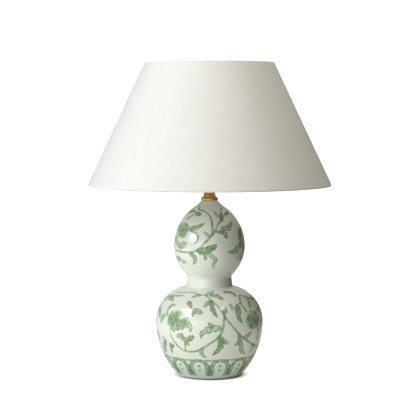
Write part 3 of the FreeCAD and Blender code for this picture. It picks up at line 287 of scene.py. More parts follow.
# %% The gourd's outline
BELLY = {"radius": 99.5, "height": 100, "flank": 139, "shoulder": 67}
BULB = {"radius": 65.6, "height": 241.5, "under": 76, "crown": 88}
WAIST = {"low_radius": 43, "low_fillet": 3, "high_radius": 40.5, "high_fillet": 12}
LIP = {"radius": 15, "height": 326, "arc": 35}
WALL, FOOT_HEIGHT, FLOOR_UNDER, FLOOR_TOP = 5.5, 2, 12, 18
RECESS_RADIUS, FLOOR_HOLE, MOUTH_RADIUS, FOOT_ROUND, RECESS_EDGE = 49, 6, 8, 1.6, 0.6
LEAD_HEIGHT, LEAD_RADIUS, SEAT_RADIUS, SEAT_DEPTH = 28, 5.2, 8.4, 0.6


def arc(centre, radius, start, end, steps):
    """Points (radius, height) round a centre from angle start to angle end, in radians."""
    turn = np.linspace(start, end, steps)
    return [(centre[0] + radius * math.cos(a), centre[1] + radius * math.sin(a)) for a in turn]


def crease(centre, radius, corner, along, fillet):
    """A fillet between a circle and a line from corner: its centre, and its two touching points' angles."""
    unit = np.array(along) / np.hypot(*along)
    side = np.array([unit[1], -unit[0]]) * fillet
    offset = np.array(corner) + side - np.array(centre)
    reach = -offset @ unit
    depth = math.sqrt((radius + fillet) ** 2 - (offset @ offset - reach ** 2))
    middle = min((np.array(corner) + side + unit * (reach + s * depth) for s in (-1, 1)),
                 key=lambda p: np.hypot(*(p - np.array(corner))))
    to_circle, to_line = np.array(centre) - middle, -side
    return middle, math.atan2(to_circle[1], to_circle[0]), math.atan2(to_line[1], to_line[0])


def gourd_side(inset):
    """The side from the foot to the lip, or the cavity's when it is drawn in by the wall."""
    flank_centre = (BELLY["radius"] - BELLY["flank"], BELLY["height"])
    shoulder_centre = (BELLY["radius"] - BELLY["shoulder"], BELLY["height"])
    under_centre = (BULB["radius"] - BULB["under"], BULB["height"])
    crown_centre = (BULB["radius"] - BULB["crown"], BULB["height"])
    flank, shoulder = BELLY["flank"] - inset, BELLY["shoulder"] - inset
    under, crown = BULB["under"] - inset, BULB["crown"] - inset
    start = FLOOR_TOP if inset else FOOT_HEIGHT
    low_r, high_r = WAIST["low_radius"] - inset, WAIST["high_radius"] - inset
    low = (low_r, shoulder_centre[1] + math.sqrt(shoulder ** 2 - (low_r - shoulder_centre[0]) ** 2))
    high = (high_r, under_centre[1] - math.sqrt(under ** 2 - (high_r - under_centre[0]) ** 2))
    line = (high[0] - low[0], high[1] - low[1])
    points = arc(flank_centre, flank, math.asin((start - BELLY["height"]) / flank), 0, 40)
    if inset:
        points += arc(shoulder_centre, shoulder, 0, math.asin((low[1] - BELLY["height"]) / shoulder), 24)
        points += arc(under_centre, under, math.asin((high[1] - BULB["height"]) / under), 0, 24)
        points += arc(crown_centre, crown, 0, math.acos((MOUTH_RADIUS - crown_centre[0]) / crown), 24)
        return points
    middle, to_circle, to_line = crease(shoulder_centre, shoulder, low, line, WAIST["low_fillet"])
    points += arc(shoulder_centre, shoulder, 0, to_circle + math.pi, 32)
    points += arc(middle, WAIST["low_fillet"], to_circle % math.tau, to_line % math.tau, 6)
    middle, to_circle, to_line = crease(under_centre, under, high, line, WAIST["high_fillet"])
    points += arc(middle, WAIST["high_fillet"], to_line % math.tau, to_circle % math.tau, 8)
    points += arc(under_centre, under, (to_circle + math.pi) % math.tau - math.tau, 0, 32)
    near, span = crown + LIP["arc"], np.array([LIP["radius"], LIP["height"]]) - np.array(crown_centre)
    length = np.hypot(*span)
    along = (near ** 2 - LIP["arc"] ** 2 + length ** 2) / (2 * length)
    unit = span / length
    square_to_it = np.array([unit[1], -unit[0]])
    hollow = np.array(crown_centre) + unit * along + square_to_it * math.sqrt(near ** 2 - along ** 2)
    leave = math.atan2(hollow[1] - crown_centre[1], hollow[0] - crown_centre[0])
    rim = math.atan2(LIP["height"] - hollow[1], LIP["radius"] - hollow[0])
    points += arc(crown_centre, crown, 0, leave, 48)
    points += arc(hollow, LIP["arc"], leave + math.pi, rim % math.tau, 10)
    return points


side = gourd_side(0)
rises = [b[1] - a[1] for a, b in zip(side, side[1:])]
print(f"outline of {len(side)} points, {side[0]} to {side[-1]}, least rise {min(rises):.4f} mm")

# %% [markdown]
# The outline is spun with a few hundred steps, so the glaze's highlights run without a break. The closed loop
# goes up the outside, over the lip, down the cavity and out through the recessed foot. The lead's hole is cut
# by a Boolean modifier, square to the back wall, where the grommet sits.

# %% A turned piece
SHARP = math.radians(50)


def spun(name, outline, around, loop=True):
    """A turned piece from an outline of (radius, height) in millimetres. Points on the axis become poles."""
    shape = bmesh.new()
    rings = []
    for radius, height in outline:
        if radius < 1e-6:
            rings.append([shape.verts.new((0, 0, height * MM))] * around)
        else:
            turns = [math.tau * k / around for k in range(around)]
            rings.append([shape.verts.new((radius * MM * math.sin(a), -radius * MM * math.cos(a), height * MM))
                          for a in turns])
    pairs = list(zip(rings, rings[1:])) + ([(rings[-1], rings[0])] if loop else [])
    for low, high in pairs:
        for k in range(around):
            corners = [low[k], low[(k + 1) % around], high[(k + 1) % around], high[k]]
            corners = [v for n, v in enumerate(corners) if v not in corners[:n]]
            if len(corners) > 2:
                shape.faces.new(corners)
    bmesh.ops.recalc_face_normals(shape, faces=shape.faces)
    mesh = bpy.data.meshes.new(name)
    shape.to_mesh(mesh)
    shape.free()
    mesh.shade_smooth()
    mesh.set_sharp_from_angle(angle=SHARP)
    return new_piece(name, mesh)


def applied(piece):
    """The piece with its modifiers turned into plain mesh."""
    bpy.context.view_layer.update()
    result = piece.evaluated_get(bpy.context.evaluated_depsgraph_get())
    mesh = bpy.data.meshes.new_from_object(result, preserve_all_data_layers=True,
                                           depsgraph=bpy.context.evaluated_depsgraph_get())
    piece.modifiers.clear()
    piece.data = mesh
    return piece


print("a lathe for outlines")

# %% Close the outline
LEAST_STEP = 0.05


def spaced(points):
    """The points without those that lie closer than the least step to the one before."""
    return [p for n, p in enumerate(points) if n == 0 or math.dist(p, points[n - 1]) > LEAST_STEP]


foot_angle = math.asin((FOOT_HEIGHT + FOOT_ROUND - BELLY["height"]) / (BELLY["flank"] - FOOT_ROUND))
foot_middle = (BELLY["radius"] - BELLY["flank"] + (BELLY["flank"] - FOOT_ROUND) * math.cos(foot_angle),
               FOOT_HEIGHT + FOOT_ROUND)
outside = spaced([p for p in side if p[1] > FOOT_HEIGHT + FOOT_ROUND * (1 - math.cos(foot_angle))])
foot = arc(foot_middle, FOOT_ROUND, -math.pi / 2, foot_angle, 6)
cavity = spaced(gourd_side(WALL))
lip_top = [(LIP["radius"] - 1.2, LIP["height"]), (MOUTH_RADIUS, LIP["height"])]
lip_edge = [(LIP["radius"] + 0.05, LIP["height"] - 0.9), (LIP["radius"] - 0.3, LIP["height"] - 0.25)]
outline = (foot + outside[:-1] + lip_edge + lip_top + cavity[::-1]
           + [(FLOOR_HOLE, FLOOR_TOP), (FLOOR_HOLE, FLOOR_UNDER), (RECESS_RADIUS, FLOOR_UNDER),
              (RECESS_RADIUS, FOOT_HEIGHT + RECESS_EDGE), (RECESS_RADIUS + RECESS_EDGE, FOOT_HEIGHT)])
print(f"closed outline of {len(outline)} points")

# %% Spin the vase and cut the lead's hole
vase = spun("gourd_vase", outline, 288)
lead_fall = math.asin((BELLY["height"] - LEAD_HEIGHT) / BELLY["flank"])
outward = Vector((0, math.cos(lead_fall), -math.sin(lead_fall)))
lead_mouth = (Vector((0, BELLY["radius"] - BELLY["flank"], BELLY["height"])) + outward * BELLY["flank"]) * MM
drills = []
for name, radius, depth in (("lead_drill", LEAD_RADIUS, 2 * WALL + 1), ("seat_drill", SEAT_RADIUS, SEAT_DEPTH)):
    bpy.ops.mesh.primitive_cylinder_add(
        vertices=64, radius=radius * MM, depth=2 * depth * MM, location=lead_mouth,
        rotation=outward.to_track_quat("Z", "Y").to_euler())
    drills.append(bpy.context.active_object)
    cut = vase.modifiers.new(name, "BOOLEAN")
    cut.operation, cut.object, cut.solver = "DIFFERENCE", drills[-1], "EXACT"
applied(vase)
for drill in drills:
    bpy.data.objects.remove(drill)
vase.data.shade_smooth()
vase.data.set_sharp_from_angle(angle=SHARP)
print(f"vase: {len(vase.data.polygons)} faces")

# %% [markdown]
# Celadon glaze is glass with a little iron in it: nearly white where it is thin and bluer where it pools, at
# the foot and in the waist. It is very smooth, so it needs a clear gloss and only a faint swell.

# %% The glaze
glaze = Finish("celadon_glaze")
height = glaze.axis(glaze.place(), "Z")
pool = height.ramp(0.045, 0.004) * 0.9 + (height - 0.176).size().ramp(0.016, 0.002) * 0.15
cloud = glaze.noise(0.06, 3.0)
speck = glaze.noise(0.0011, 1.0).ramp(0.79, 0.86) * 0.5
tint = glaze.blend(pool, rgb(243, 248, 238), rgb(206, 220, 218))
tint = glaze.blend(cloud.ramp(0.4, 0.8) * 0.5, tint, rgb(236, 243, 228))
tint = glaze.blend(speck, tint, rgb(176, 184, 158))
swell = glaze.noise(0.012, 2.0) * 0.7 + glaze.noise(0.0022, 1.0) * 0.12
finishes["glaze"] = glaze.surface(
    Base_Color=tint, Roughness=0.13 + cloud * 0.07, Coat_Weight=0.35, Coat_Roughness=0.08,
    Normal=glaze.bump(swell, 0.00022))
settle(vase, "base", "glaze", stands_for=["gourd_body"])
print("pool of glaze at the foot and the waist")

# %% [markdown]
# ## Painting on a turned surface
# The decorator works with a loaded brush, turning the vase. Each stroke here is a thin ribbon that lies 0.10
# to 0.23 mm off the glaze, so it follows both bulbs, and strokes that cross seldom share a surface. A place is
# given as the painter would give it: the angle round from the front, in degrees, and the height, in
# millimetres. Every ribbon carries three numbers: how far along the stroke a point is, how far across it, and
# how much ink the brush held.

# %% Places on the glaze
LIFT, LAYER_LIFT, LAYERS = 0.10, 0.012, 12
heights = np.array([p[1] for p in side])
radii = np.array([p[0] for p in side])


def on_glaze(turn, height, lift=0.0):
    """The point at an angle in radians and a height, lifted square off the glaze. Millimetres."""
    radius = np.interp(height, heights, radii)
    slope = (np.interp(height + 0.4, heights, radii) - np.interp(height - 0.4, heights, radii)) / 0.8
    out, up = 1 / math.hypot(1, slope), -slope / math.hypot(1, slope)
    reach = radius + lift * out
    return np.array([reach * math.sin(turn), -reach * math.cos(turn), height + lift * up])


def smooth_line(points, steps):
    """A Catmull-Rom curve through (angle, height) points."""
    fixed = [points[0], *points, points[-1]]
    line = []
    for n in range(len(points) - 1):
        a, b, c, d = (np.array(fixed[n + k], float) for k in range(4))
        share = np.linspace(0, 1, steps, endpoint=n == len(points) - 2)
        bend, twist = 2 * a - 5 * b + 4 * c - d, 3 * b - a - 3 * c + d
        line += [0.5 * (2 * b + (c - a) * t + bend * t ** 2 + twist * t ** 3) for t in share]
    return line


class Painting:
    """Brush strokes gathered in one mesh."""

    def __init__(self):
        self.points, self.faces, self.along, self.across, self.ink = [], [], [], [], []
        self.layers = 0

    def stroke(self, points, half_width, ink, steps=7, wide=4):
        """A ribbon along (angle, height) points. half_width is a length, or a function of how far along."""
        self.layers += 1
        lift = LIFT + LAYER_LIFT * (self.layers % LAYERS)
        line = smooth_line(points, steps)
        places = [on_glaze(math.radians(a), h) for a, h in line]
        start = len(self.points)
        for n, (a, h) in enumerate(line):
            ahead = places[min(n + 1, len(line) - 1)] - places[max(n - 1, 0)]
            ahead /= np.linalg.norm(ahead) + 1e-9
            turn, far = math.radians(a), n / (len(line) - 1)
            level = np.array([math.cos(turn), math.sin(turn), 0])
            climb = on_glaze(turn, h + 0.5) - on_glaze(turn, h - 0.5)
            climb /= np.linalg.norm(climb)
            right = (ahead @ climb, -(ahead @ level))
            width = half_width(far) if callable(half_width) else half_width
            for k in range(wide + 1):
                share = 2 * k / wide - 1
                step_turn = right[0] * share * width / np.interp(h, heights, radii)
                step_up = right[1] * share * width * climb[2]
                self.points.append(tuple(on_glaze(turn + step_turn, h + step_up, lift) * MM))
                self.along.append(far)
                self.across.append(share)
                self.ink.append(ink)
        for n in range(len(line) - 1):
            for k in range(wide):
                corner = start + n * (wide + 1) + k
                self.faces.append((corner, corner + wide + 1, corner + wide + 2, corner + 1))

    def piece(self, name):
        mesh = bpy.data.meshes.new(name)
        mesh.from_pydata(self.points, [], self.faces)
        for label, values in (("along", self.along), ("across", self.across), ("ink", self.ink)):
            mesh.attributes.new(label, "FLOAT", "POINT").data.foreach_set("value", values)
        mesh.shade_smooth()
        return new_piece(name, mesh)


dice = random.Random(11)


def vine(art, points, width=2.0, ink=0.3):
    """A stem: even, a little thicker where the brush pauses, and drawn to a point at its end."""
    wave = dice.uniform(0, 6)
    art.stroke(points, lambda u: width * (1 + 0.16 * math.sin(9 * u + wave)) * min(1, 7 * (1 - u) + 0.35), ink)


def leaf(art, points, half, ink=None, lobes=3, fullest=0.8):
    """A leaf: toothed along both edges and pointed. Below 1, fullest puts its widest part nearer the stem."""
    ink = dice.uniform(0.2, 0.6) if ink is None else ink

    def width(u):
        body = math.sin(math.pi * min(1, u * 0.94 + 0.04) ** fullest) ** 0.68
        return half * body * (1 + 0.42 * (((u * (lobes + 0.5)) % 1) - 0.5))
    art.stroke(points, width, ink, steps=11, wide=8)


# Each ring of a flower: petals, where they start and end, their half width, and how far the ring is turned.
# Lengths are shares of the flower's own radius.
PEONY = [(14, 0.5, 1.0, 0.21, 0.0), (11, 0.3, 0.8, 0.2, 0.4), (8, 0.1, 0.56, 0.17, 0.1),
         (5, 0.0, 0.3, 0.13, 0.6)]
SEEDS, SEED_TURN = 9, 2.4


def flower(art, turn, height, reach_turn, reach_up, ink=0.14):
    """A peony: rings of cupped, overlapping petals round a dotted heart."""
    def spot(far, angle):
        return (turn + reach_turn * far * math.cos(angle), height + reach_up * far * math.sin(angle))

    for petals, near, far, half, start in PEONY:
        for k in range(petals):
            angle = math.tau * (k + start + dice.uniform(-0.14, 0.14)) / petals
            tip, bend = far * dice.uniform(0.86, 1.06), dice.uniform(-0.14, 0.14)
            spots = [spot(near, angle), spot((near + tip) / 2, angle + bend / 2), spot(tip, angle + bend)]
            leaf(art, spots, half * reach_up, ink * dice.uniform(0.4, 1.6), lobes=2, fullest=1.5)
    for k in range(SEEDS):
        seed = spot(0.04 + 0.02 * k, k * SEED_TURN)
        leaf(art, [(seed[0] - 0.8, seed[1]), (seed[0] + 0.8, seed[1])], 0.9, 0.7)


print("a brush that paints vines, leaves and flowers")

# %% [markdown]
# ## The vines, as the photograph shows them
# The front of each bulb is read from the photograph: where each stem runs and where its leaves hang.
# A stem is a list of (angle, height) points. A leaf is its middle line and its half width.

# %% The upper bulb
UPPER_VINES = [
    [(-75, 237), (-62, 234), (-50, 233.5), (-40, 233.5), (-30, 235), (-22, 237.5), (-18, 241), (-12, 247),
     (-6, 254), (-1, 260), (4, 266), (9, 272), (13, 279), (18, 286), (24, 292), (30, 296), (38, 299.5),
     (48, 303), (60, 306), (75, 308)],
    [(27, 294), (30, 300), (33, 306), (38, 310), (48, 312), (62, 314)],
    [(1, 262), (4, 268), (5, 275), (5, 285), (4, 293), (1, 299), (-5, 303.5), (-12, 306.5), (-20, 308),
     (-30, 309), (-38, 311.5), (-45, 316)],
    [(-38, 274), (-32, 271.5), (-27, 270.5), (-22, 268), (-19.5, 263), (-20, 257), (-23, 252), (-25, 250)],
    [(-55, 234), (-54, 240), (-54, 243)], [(10, 272), (14, 272), (18, 272)],
    [(75, 308), (88, 303), (95, 285), (97, 265), (100, 247), (105, 237)],
]
UPPER_LEAVES = [
    (2.2, [(0, 262), (-4, 267), (-8, 270), (-9, 273)]),
    (3.5, [(-38, 276), (-28, 278), (-20, 281), (-10, 287)]), (3.6, [(-22, 300.5), (-33, 303), (-45, 306)]),
    (2.6, [(-42, 302), (-50, 297), (-58, 291)]), (2.6, [(-75, 304), (-60, 306), (-45, 307)]),
    (4.8, [(-22, 238), (-10, 238), (0, 241), (7, 245), (11.5, 250)]),
    (2.4, [(-14, 237), (-15, 233), (-15, 229)]), (3.0, [(-8, 237), (-7, 228), (-7, 220)]),
    (2.6, [(2, 240), (6, 241), (10, 240)]),
    (3.2, [(-5, 237), (2, 230), (8, 224), (9.5, 219), (7, 212), (7, 204)]),
    (3.2, [(-36, 232), (-30, 230), (-26, 227), (-24.5, 221), (-27, 215), (-30, 211)]),
    (4.2, [(-54, 242), (-62, 247), (-70, 251)]), (4.6, [(-54, 242), (-45, 248), (-39, 248)]),
    (4.4, [(-78, 214), (-70, 219), (-60, 222)]), (3.8, [(-66, 223), (-55, 216), (-43, 216)]),
    (2.4, [(15, 273), (18, 270), (20, 267)]), (4.0, [(19, 273), (26, 277), (36, 278), (45, 284), (52, 288)]),
    (3.8, [(22, 274), (28, 266), (28.5, 258)]), (3.0, [(27, 294), (20, 301), (13, 308)]),
    (2.6, [(28, 295), (30, 300), (32, 305)]), (2.6, [(30, 296), (26, 292), (24, 288)]),
    (3.0, [(42, 301), (52, 303), (62, 303)]), (4.2, [(64, 250), (61, 260), (66, 272), (73, 274)]),
    (4.2, [(74, 238), (62, 246), (52, 240), (45, 236), (38, 234), (30, 235)]),
    (3.6, [(84, 303), (86, 294), (82, 286)]), (3.6, [(96, 283), (88, 276), (82, 268)]),
    (3.4, [(99, 250), (92, 244), (86, 234)]), (3.2, [(96, 268), (104, 276), (110, 286)]),
    (3.4, [(101, 246), (108, 256), (114, 262)]), (3.0, [(90, 214), (98, 219), (106, 224)]),
]
UPPER_FLOWERS = [(-55, 273, 18, 15.5)]

# %% The lower bulb
LOWER_VINES = [
    [(-68, 157), (-50, 158.5), (-35, 160), (-25, 160), (-15, 157.5), (-8, 157), (-3, 154.5), (3, 149),
     (8, 142), (12, 135), (15, 127), (16, 120), (15, 112), (14.5, 104), (13.5, 97), (11, 89), (7, 81),
     (0, 73), (-5, 67), (-10, 62), (-17, 58), (-24, 57), (-30, 58.5), (-35, 63), (-40, 71), (-44, 80),
     (-46, 90), (-46, 97)],
    [(16, 126), (18, 118), (22, 109), (26, 101), (31, 91), (36, 83), (43, 76), (50, 69.5), (57, 64),
     (65, 60), (75, 57), (88, 62), (97, 80), (100, 100), (101, 120), (104, 140), (112, 155)],
    [(38, 142), (42, 143), (45, 150), (50, 154), (56, 152)], [(41, 143), (43, 136), (46, 126)],
    [(-28, 57), (-27.5, 66), (-27, 76)],
]
LOWER_LEAVES = [
    (2.6, [(-45, 138), (-51, 137), (-54.5, 130), (-54, 122), (-53, 115)]),
    (4.0, [(-56, 118), (-60, 115), (-63, 108), (-62.5, 102)]), (3.4, [(-29, 146), (-25, 142), (-21, 135)]),
    (4.4, [(-20, 131), (-14, 131), (-7, 128)]), (2.4, [(-18, 131), (-18.5, 126), (-18.5, 121)]),
    (3.4, [(3, 149), (-3, 144), (-7, 137)]), (3.4, [(3, 149), (3, 138), (5, 129), (8.5, 120.5)]),
    (3.4, [(15, 126), (18, 132), (21, 139.5)]), (3.0, [(-23, 112), (-21, 105), (-20, 99), (-21.5, 92.5)]),
    (4.6, [(14, 101), (5, 101), (-2, 98), (-8, 92), (-9, 82)]), (3.0, [(4, 102), (1, 107), (-1, 112)]),
    (4.0, [(-27, 77), (-32, 86), (-37, 83)]), (4.0, [(-27, 76), (-20, 83), (-16, 86)]),
    (2.4, [(-27, 76), (-24, 72), (-22, 69)]), (2.6, [(-61, 80), (-58, 74), (-52, 72)]),
    (4.2, [(-55, 70), (-61, 62), (-64, 47)]), (3.4, [(-48, 70), (-48, 60), (-49, 50)]),
    (2.6, [(-43, 68), (-44, 65), (-45, 61)]), (3.0, [(-7, 66), (-9, 60), (-8, 52), (-3, 46)]),
    (4.2, [(9, 86), (13, 80), (21, 71)]), (4.2, [(11, 84), (12, 72), (10, 62), (3, 51)]),
    (3.6, [(32, 91), (34, 80), (33, 73), (28, 68)]), (3.8, [(36, 76), (37, 64), (40, 55), (46, 49)]),
    (3.6, [(38, 80), (44, 83), (51, 91)]), (3.4, [(62, 95), (65, 85), (64, 75), (63, 70)]),
    (4.4, [(55, 66), (57, 60), (53, 51)]), (2.8, [(-13, 157), (-20, 156), (-26, 152)]),
    (3.2, [(-7, 157), (0, 160), (8, 164)]), (4.0, [(0, 156), (8, 157), (14, 154), (19, 149)]),
    (2.2, [(-75, 150), (-60, 152), (-40, 155)]), (3.2, [(-75, 147), (-60, 147), (-53, 144)]),
    (3.2, [(24, 160), (33, 161), (41, 158), (40, 152)]), (3.4, [(25, 143), (28, 135), (35, 132)]),
    (4.2, [(36, 142), (35, 133), (33, 120), (37, 107)]), (3.4, [(53, 132), (58, 140), (60, 149)]),
    (3.2, [(56, 151), (66, 148), (75, 143)]), (3.0, [(67, 122), (74, 130)]),
    (4.0, [(72, 93), (74, 99), (71, 105)]), (3.8, [(92, 70), (84, 78), (80, 88)]),
    (3.8, [(100, 98), (93, 106), (86, 110)]), (3.8, [(101, 122), (93, 130), (84, 132)]),
    (3.6, [(98, 86), (106, 80), (110, 70)]), (3.4, [(104, 140), (97, 148), (90, 150)]),
    (4.0, [(86, 60), (92, 54), (100, 50)]), (3.6, [(102, 128), (108, 122), (112, 112)]),
]
LOWER_FLOWERS = [(-37.5, 112, 15.5, 20.5), (55, 110, 14, 18)]

FULLNESS = 1.38
art = Painting()
for points in UPPER_VINES + LOWER_VINES:
    vine(art, points)
for half, points in UPPER_LEAVES + LOWER_LEAVES:
    leaf(art, points, half * FULLNESS)
for spot in UPPER_FLOWERS + LOWER_FLOWERS:
    flower(art, *spot)
print(f"{art.layers} strokes, {len(art.faces)} faces")

# %% [markdown]
# ## Repeating round the axis with Geometry Nodes
# The back of the vase repeats its front, and the foot wears a band of thirteen lappets. Both are one motif
# turned about the axis, which is what instances are for: the tree makes a row of points, all on the axis, gives
# each a copy of the motif and turns it by its share of the circle. Realize Instances then makes them real.

# %% A tree that repeats a motif round the axis
around = bpy.data.node_groups.new("repeat_round_the_axis", "GeometryNodeTree")
face = around.interface
face.new_socket("Motif", in_out="INPUT", socket_type="NodeSocketGeometry")
count_socket = face.new_socket("Copies", in_out="INPUT", socket_type="NodeSocketInt")
paint_socket = face.new_socket("Paint", in_out="INPUT", socket_type="NodeSocketMaterial")
face.new_socket("Ring", in_out="OUTPUT", socket_type="NodeSocketGeometry")


def geometry_node(tree, kind, links=None, **settings):
    """A geometry node: its settings, then its inputs, each a socket to link or a value."""
    made = tree.nodes.new(kind)
    for name, setting in settings.items():
        setattr(made, name, setting)
    for name, value in (links or {}).items():
        if isinstance(value, bpy.types.NodeSocket):
            tree.links.new(value, made.inputs[name])
        else:
            made.inputs[name].default_value = value
    return made


given = geometry_node(around, "NodeGroupInput").outputs
pitch = geometry_node(around, "ShaderNodeMath", {0: math.tau, 1: given["Copies"]},
                      operation="DIVIDE").outputs[0]
index = geometry_node(around, "GeometryNodeInputIndex").outputs[0]
turn = geometry_node(around, "ShaderNodeMath", {0: index, 1: pitch}, operation="MULTIPLY").outputs[0]
spin = geometry_node(around, "ShaderNodeCombineXYZ", {"Z": turn}).outputs[0]
spots = geometry_node(around, "GeometryNodePoints", {"Count": given["Copies"]}).outputs[0]
copies = geometry_node(around, "GeometryNodeInstanceOnPoints",
                       {"Points": spots, "Instance": given["Motif"], "Rotation": spin}).outputs[0]
real = geometry_node(around, "GeometryNodeRealizeInstances", {"Geometry": copies}).outputs[0]
painted = geometry_node(around, "GeometryNodeSetMaterial",
                        {"Geometry": real, "Material": given["Paint"]}).outputs[0]
geometry_node(around, "NodeGroupOutput", {"Ring": painted})


def repeated(piece, copies, material):
    """The piece's mesh, repeated round the Z axis."""
    modifier = piece.modifiers.new("repeat", "NODES")
    modifier.node_group = around
    modifier[count_socket.identifier] = copies
    modifier[paint_socket.identifier] = material
    return applied(piece)


# %% [markdown]
# ## The green
# Copper or chrome green is brushed on under the glaze. The brush leaves more colour where a stroke's edge
# dries and along a leaf's rib, and lets the white body through in between, so the paint is a thin coat whose
# colour and cover both change across the stroke.

# %% Green underglaze
green = Finish("green_underglaze")
across, along, ink = (green.attribute(name) for name in ("across", "along", "ink"))
edge = across.size().ramp(0.5, 0.86)
rib = across.size().ramp(0.16, 0.03)
barbs = (along * 40 - across.size() * 6).sine().ramp(0.2, 0.95) * across.size().ramp(0.08, 0.3)
blot = green.noise(0.006, 3.0, 0.6) - 0.5
bristle = green.noise(0.0014, 2.0, 0.6) - 0.5
line = edge.most(rib * 0.7).most(barbs * 0.6)
pigment = line * 0.45 + ink * 0.75 + blot * 1.2 - 0.15
shade_of_green = green.blend(pigment, rgb(162, 202, 146), rgb(76, 124, 54))
fade = 1 - across.size().ramp(0.86, 1.0) * 0.85
cover = (0.2 + ink * 0.5 + line * 0.42 + blot * 0.9 + bristle * 0.5).least(0.97) * fade
finishes["green"] = green.surface(
    Base_Color=shade_of_green, Roughness=0.16 + (blot + 0.5) * 0.08, Alpha=cover, Coat_Weight=0.35,
    Coat_Roughness=0.1)

vines = repeated(art.piece("painted_vines"), 2, finishes["green"])
settle(vines, "base", "glaze", finishes["green"])
print(f"vines: {len(vines.data.polygons)} faces on the front and the back")

# %% [markdown]
# ## The lappet band
# Round the foot runs a band of upright petals, or lappets: a round-topped arch with two dots in it, a solid
# wedge between one arch and the next, and the tip of a petal behind showing above each wedge.

# %% One lappet, thirteen times
LAPPETS = 13
HALF_PITCH = 180 / LAPPETS
ARCH = [(-9.9, 9.2), (-10.6, 18), (-10.7, 27), (-9.1, 34), (-5.0, 38.6), (0, 39.8)]
EDGE = [(-12.6, 9.2), (-12.9, 18), (-12.6, 27), (-10.8, 35.6), (-6.0, 41.0), (0, 42.0)]
INNER_EDGE = [(-7.9, 9.2), (-8.4, 18), (-8.4, 27), (-6.9, 33), (-3.6, 36.6), (0, 37.5)]


def both_sides(half_path):
    """A path from one foot up to the middle, and down its mirror image."""
    return half_path + [(-turn, height) for turn, height in half_path[-2::-1]]


lappet = Painting()
lappet.stroke(both_sides(ARCH), 3.1, 0.36)
lappet.stroke(both_sides(EDGE), 0.8, 0.3)
lappet.stroke(both_sides(INNER_EDGE), 0.6, 0.75)
lappet.stroke([(HALF_PITCH, 9.0), (HALF_PITCH, 16), (HALF_PITCH, 24), (HALF_PITCH, 32)],
              lambda u: 4.8 * (1 - u) ** 0.8 + 0.4, 0.8)
lappet.stroke([(HALF_PITCH - 7, 41.2), (HALF_PITCH - 3, 40.2), (HALF_PITCH + 3, 40.2), (HALF_PITCH + 7, 41.2)],
              1.8, 0.2)
for height in (29, 20):
    lappet.stroke([(-1.7, height), (0, height + 0.3), (1.7, height)],
                  lambda u: 2.3 * math.sin(math.pi * min(max(u, 0.06), 0.94)) ** 0.5, 0.8, wide=6)
band = repeated(lappet.piece("lappet_band"), LAPPETS, finishes["green"])
band.data.transform(Matrix.Rotation(math.radians(HALF_PITCH), 4, "Z"))
settle(band, "base", "glaze", finishes["green"])
print(f"lappets: {len(band.data.polygons)} faces")

# %% [markdown]
# ## The felt foot
# A disc of wool felt is glued under the foot. Its edge is soft and a little fuzzy, so the disc gets a rounded
# rim that wanders slightly, and a matt finish of short crossed fibres.

# %% Felt
felt = Finish("wool_felt")
fibre = felt.noise(0.0006, 4.0, 0.7, (1, 3, 1)) * 0.5 + felt.noise(0.0007, 4.0, 0.7, (3, 1, 1)) * 0.5
finishes["felt"] = felt.surface(
    Base_Color=felt.blend(fibre, rgb(22, 19, 15), rgb(50, 44, 34)), Roughness=0.9 + (fibre - 0.5) * 0.1,
    Sheen_Weight=0.4, Normal=felt.bump(fibre, 0.0003))
felt_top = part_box("felt_pad")[1]
FELT_R, FELT_T = felt_top[0] / MM, felt_top[2] / MM
rim = [(FELT_R - 0.9, 0.0), (FELT_R - 0.35, 0.15), (FELT_R - 0.05, 0.6), (FELT_R - 0.05, FELT_T - 0.6),
       (FELT_R - 0.35, FELT_T - 0.12), (FELT_R - 0.9, FELT_T)]
pad = spun("felt_disc", [(0, 0), (30, 0), *rim, (30, FELT_T), (0, FELT_T)], 180, loop=False)
for corner in pad.data.vertices:
    turn, reach = math.atan2(corner.co.y, corner.co.x), math.hypot(corner.co.x, corner.co.y)
    if reach > (FELT_R - 2) * MM:
        pull = 1 - 0.0035 * (1 + math.sin(5 * turn + 1) * math.sin(17 * turn))
        corner.co.x, corner.co.y = corner.co.x * pull, corner.co.y * pull
settle(pad, "base", "felt", stands_for=["felt_pad"])
print(f"felt disc {2 * FELT_R:.0f} mm across")

# %% [markdown]
# ## The shade
# The linen is cut flat as a sector of a ring and rolled into a cone, so its threads run straight in the cut
# cloth and lean more and more towards the sides of the cone. Each point's cloth coordinates are therefore its
# place in the unrolled sector, in metres, with the seam at the back.

# %% The cone between the two ring wires
RING_WIRE, CLOTH = 1.5, 0.5
ROLL = RING_WIRE + CLOTH
low_box, high_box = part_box("bottom_hem"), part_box("top_hem")
low_ring = (low_box[1][0] / MM - ROLL, low_box[0][2] / MM + ROLL)
high_ring = (high_box[1][0] / MM - ROLL, high_box[1][2] / MM - ROLL)
lean = math.atan2(low_ring[0] - high_ring[0], high_ring[1] - low_ring[1])
out_of_wall = (math.cos(lean), math.sin(lean))


def off_ring(ring, distance, climb=0.0):
    """A point at a distance out from a ring wire's centre, square to the wall, and a climb along the wall."""
    return (ring[0] + distance * out_of_wall[0] - climb * math.sin(lean),
            ring[1] + distance * out_of_wall[1] + climb * math.cos(lean))


def between(start, end, steps):
    return [tuple(np.array(start) + (np.array(end) - np.array(start)) * s) for s in np.linspace(0, 1, steps)]


def round_axis(point):
    """The angle of a point round from the front, and its distance from the axis."""
    return math.atan2(point.x, -point.y), math.hypot(point.x, point.y)


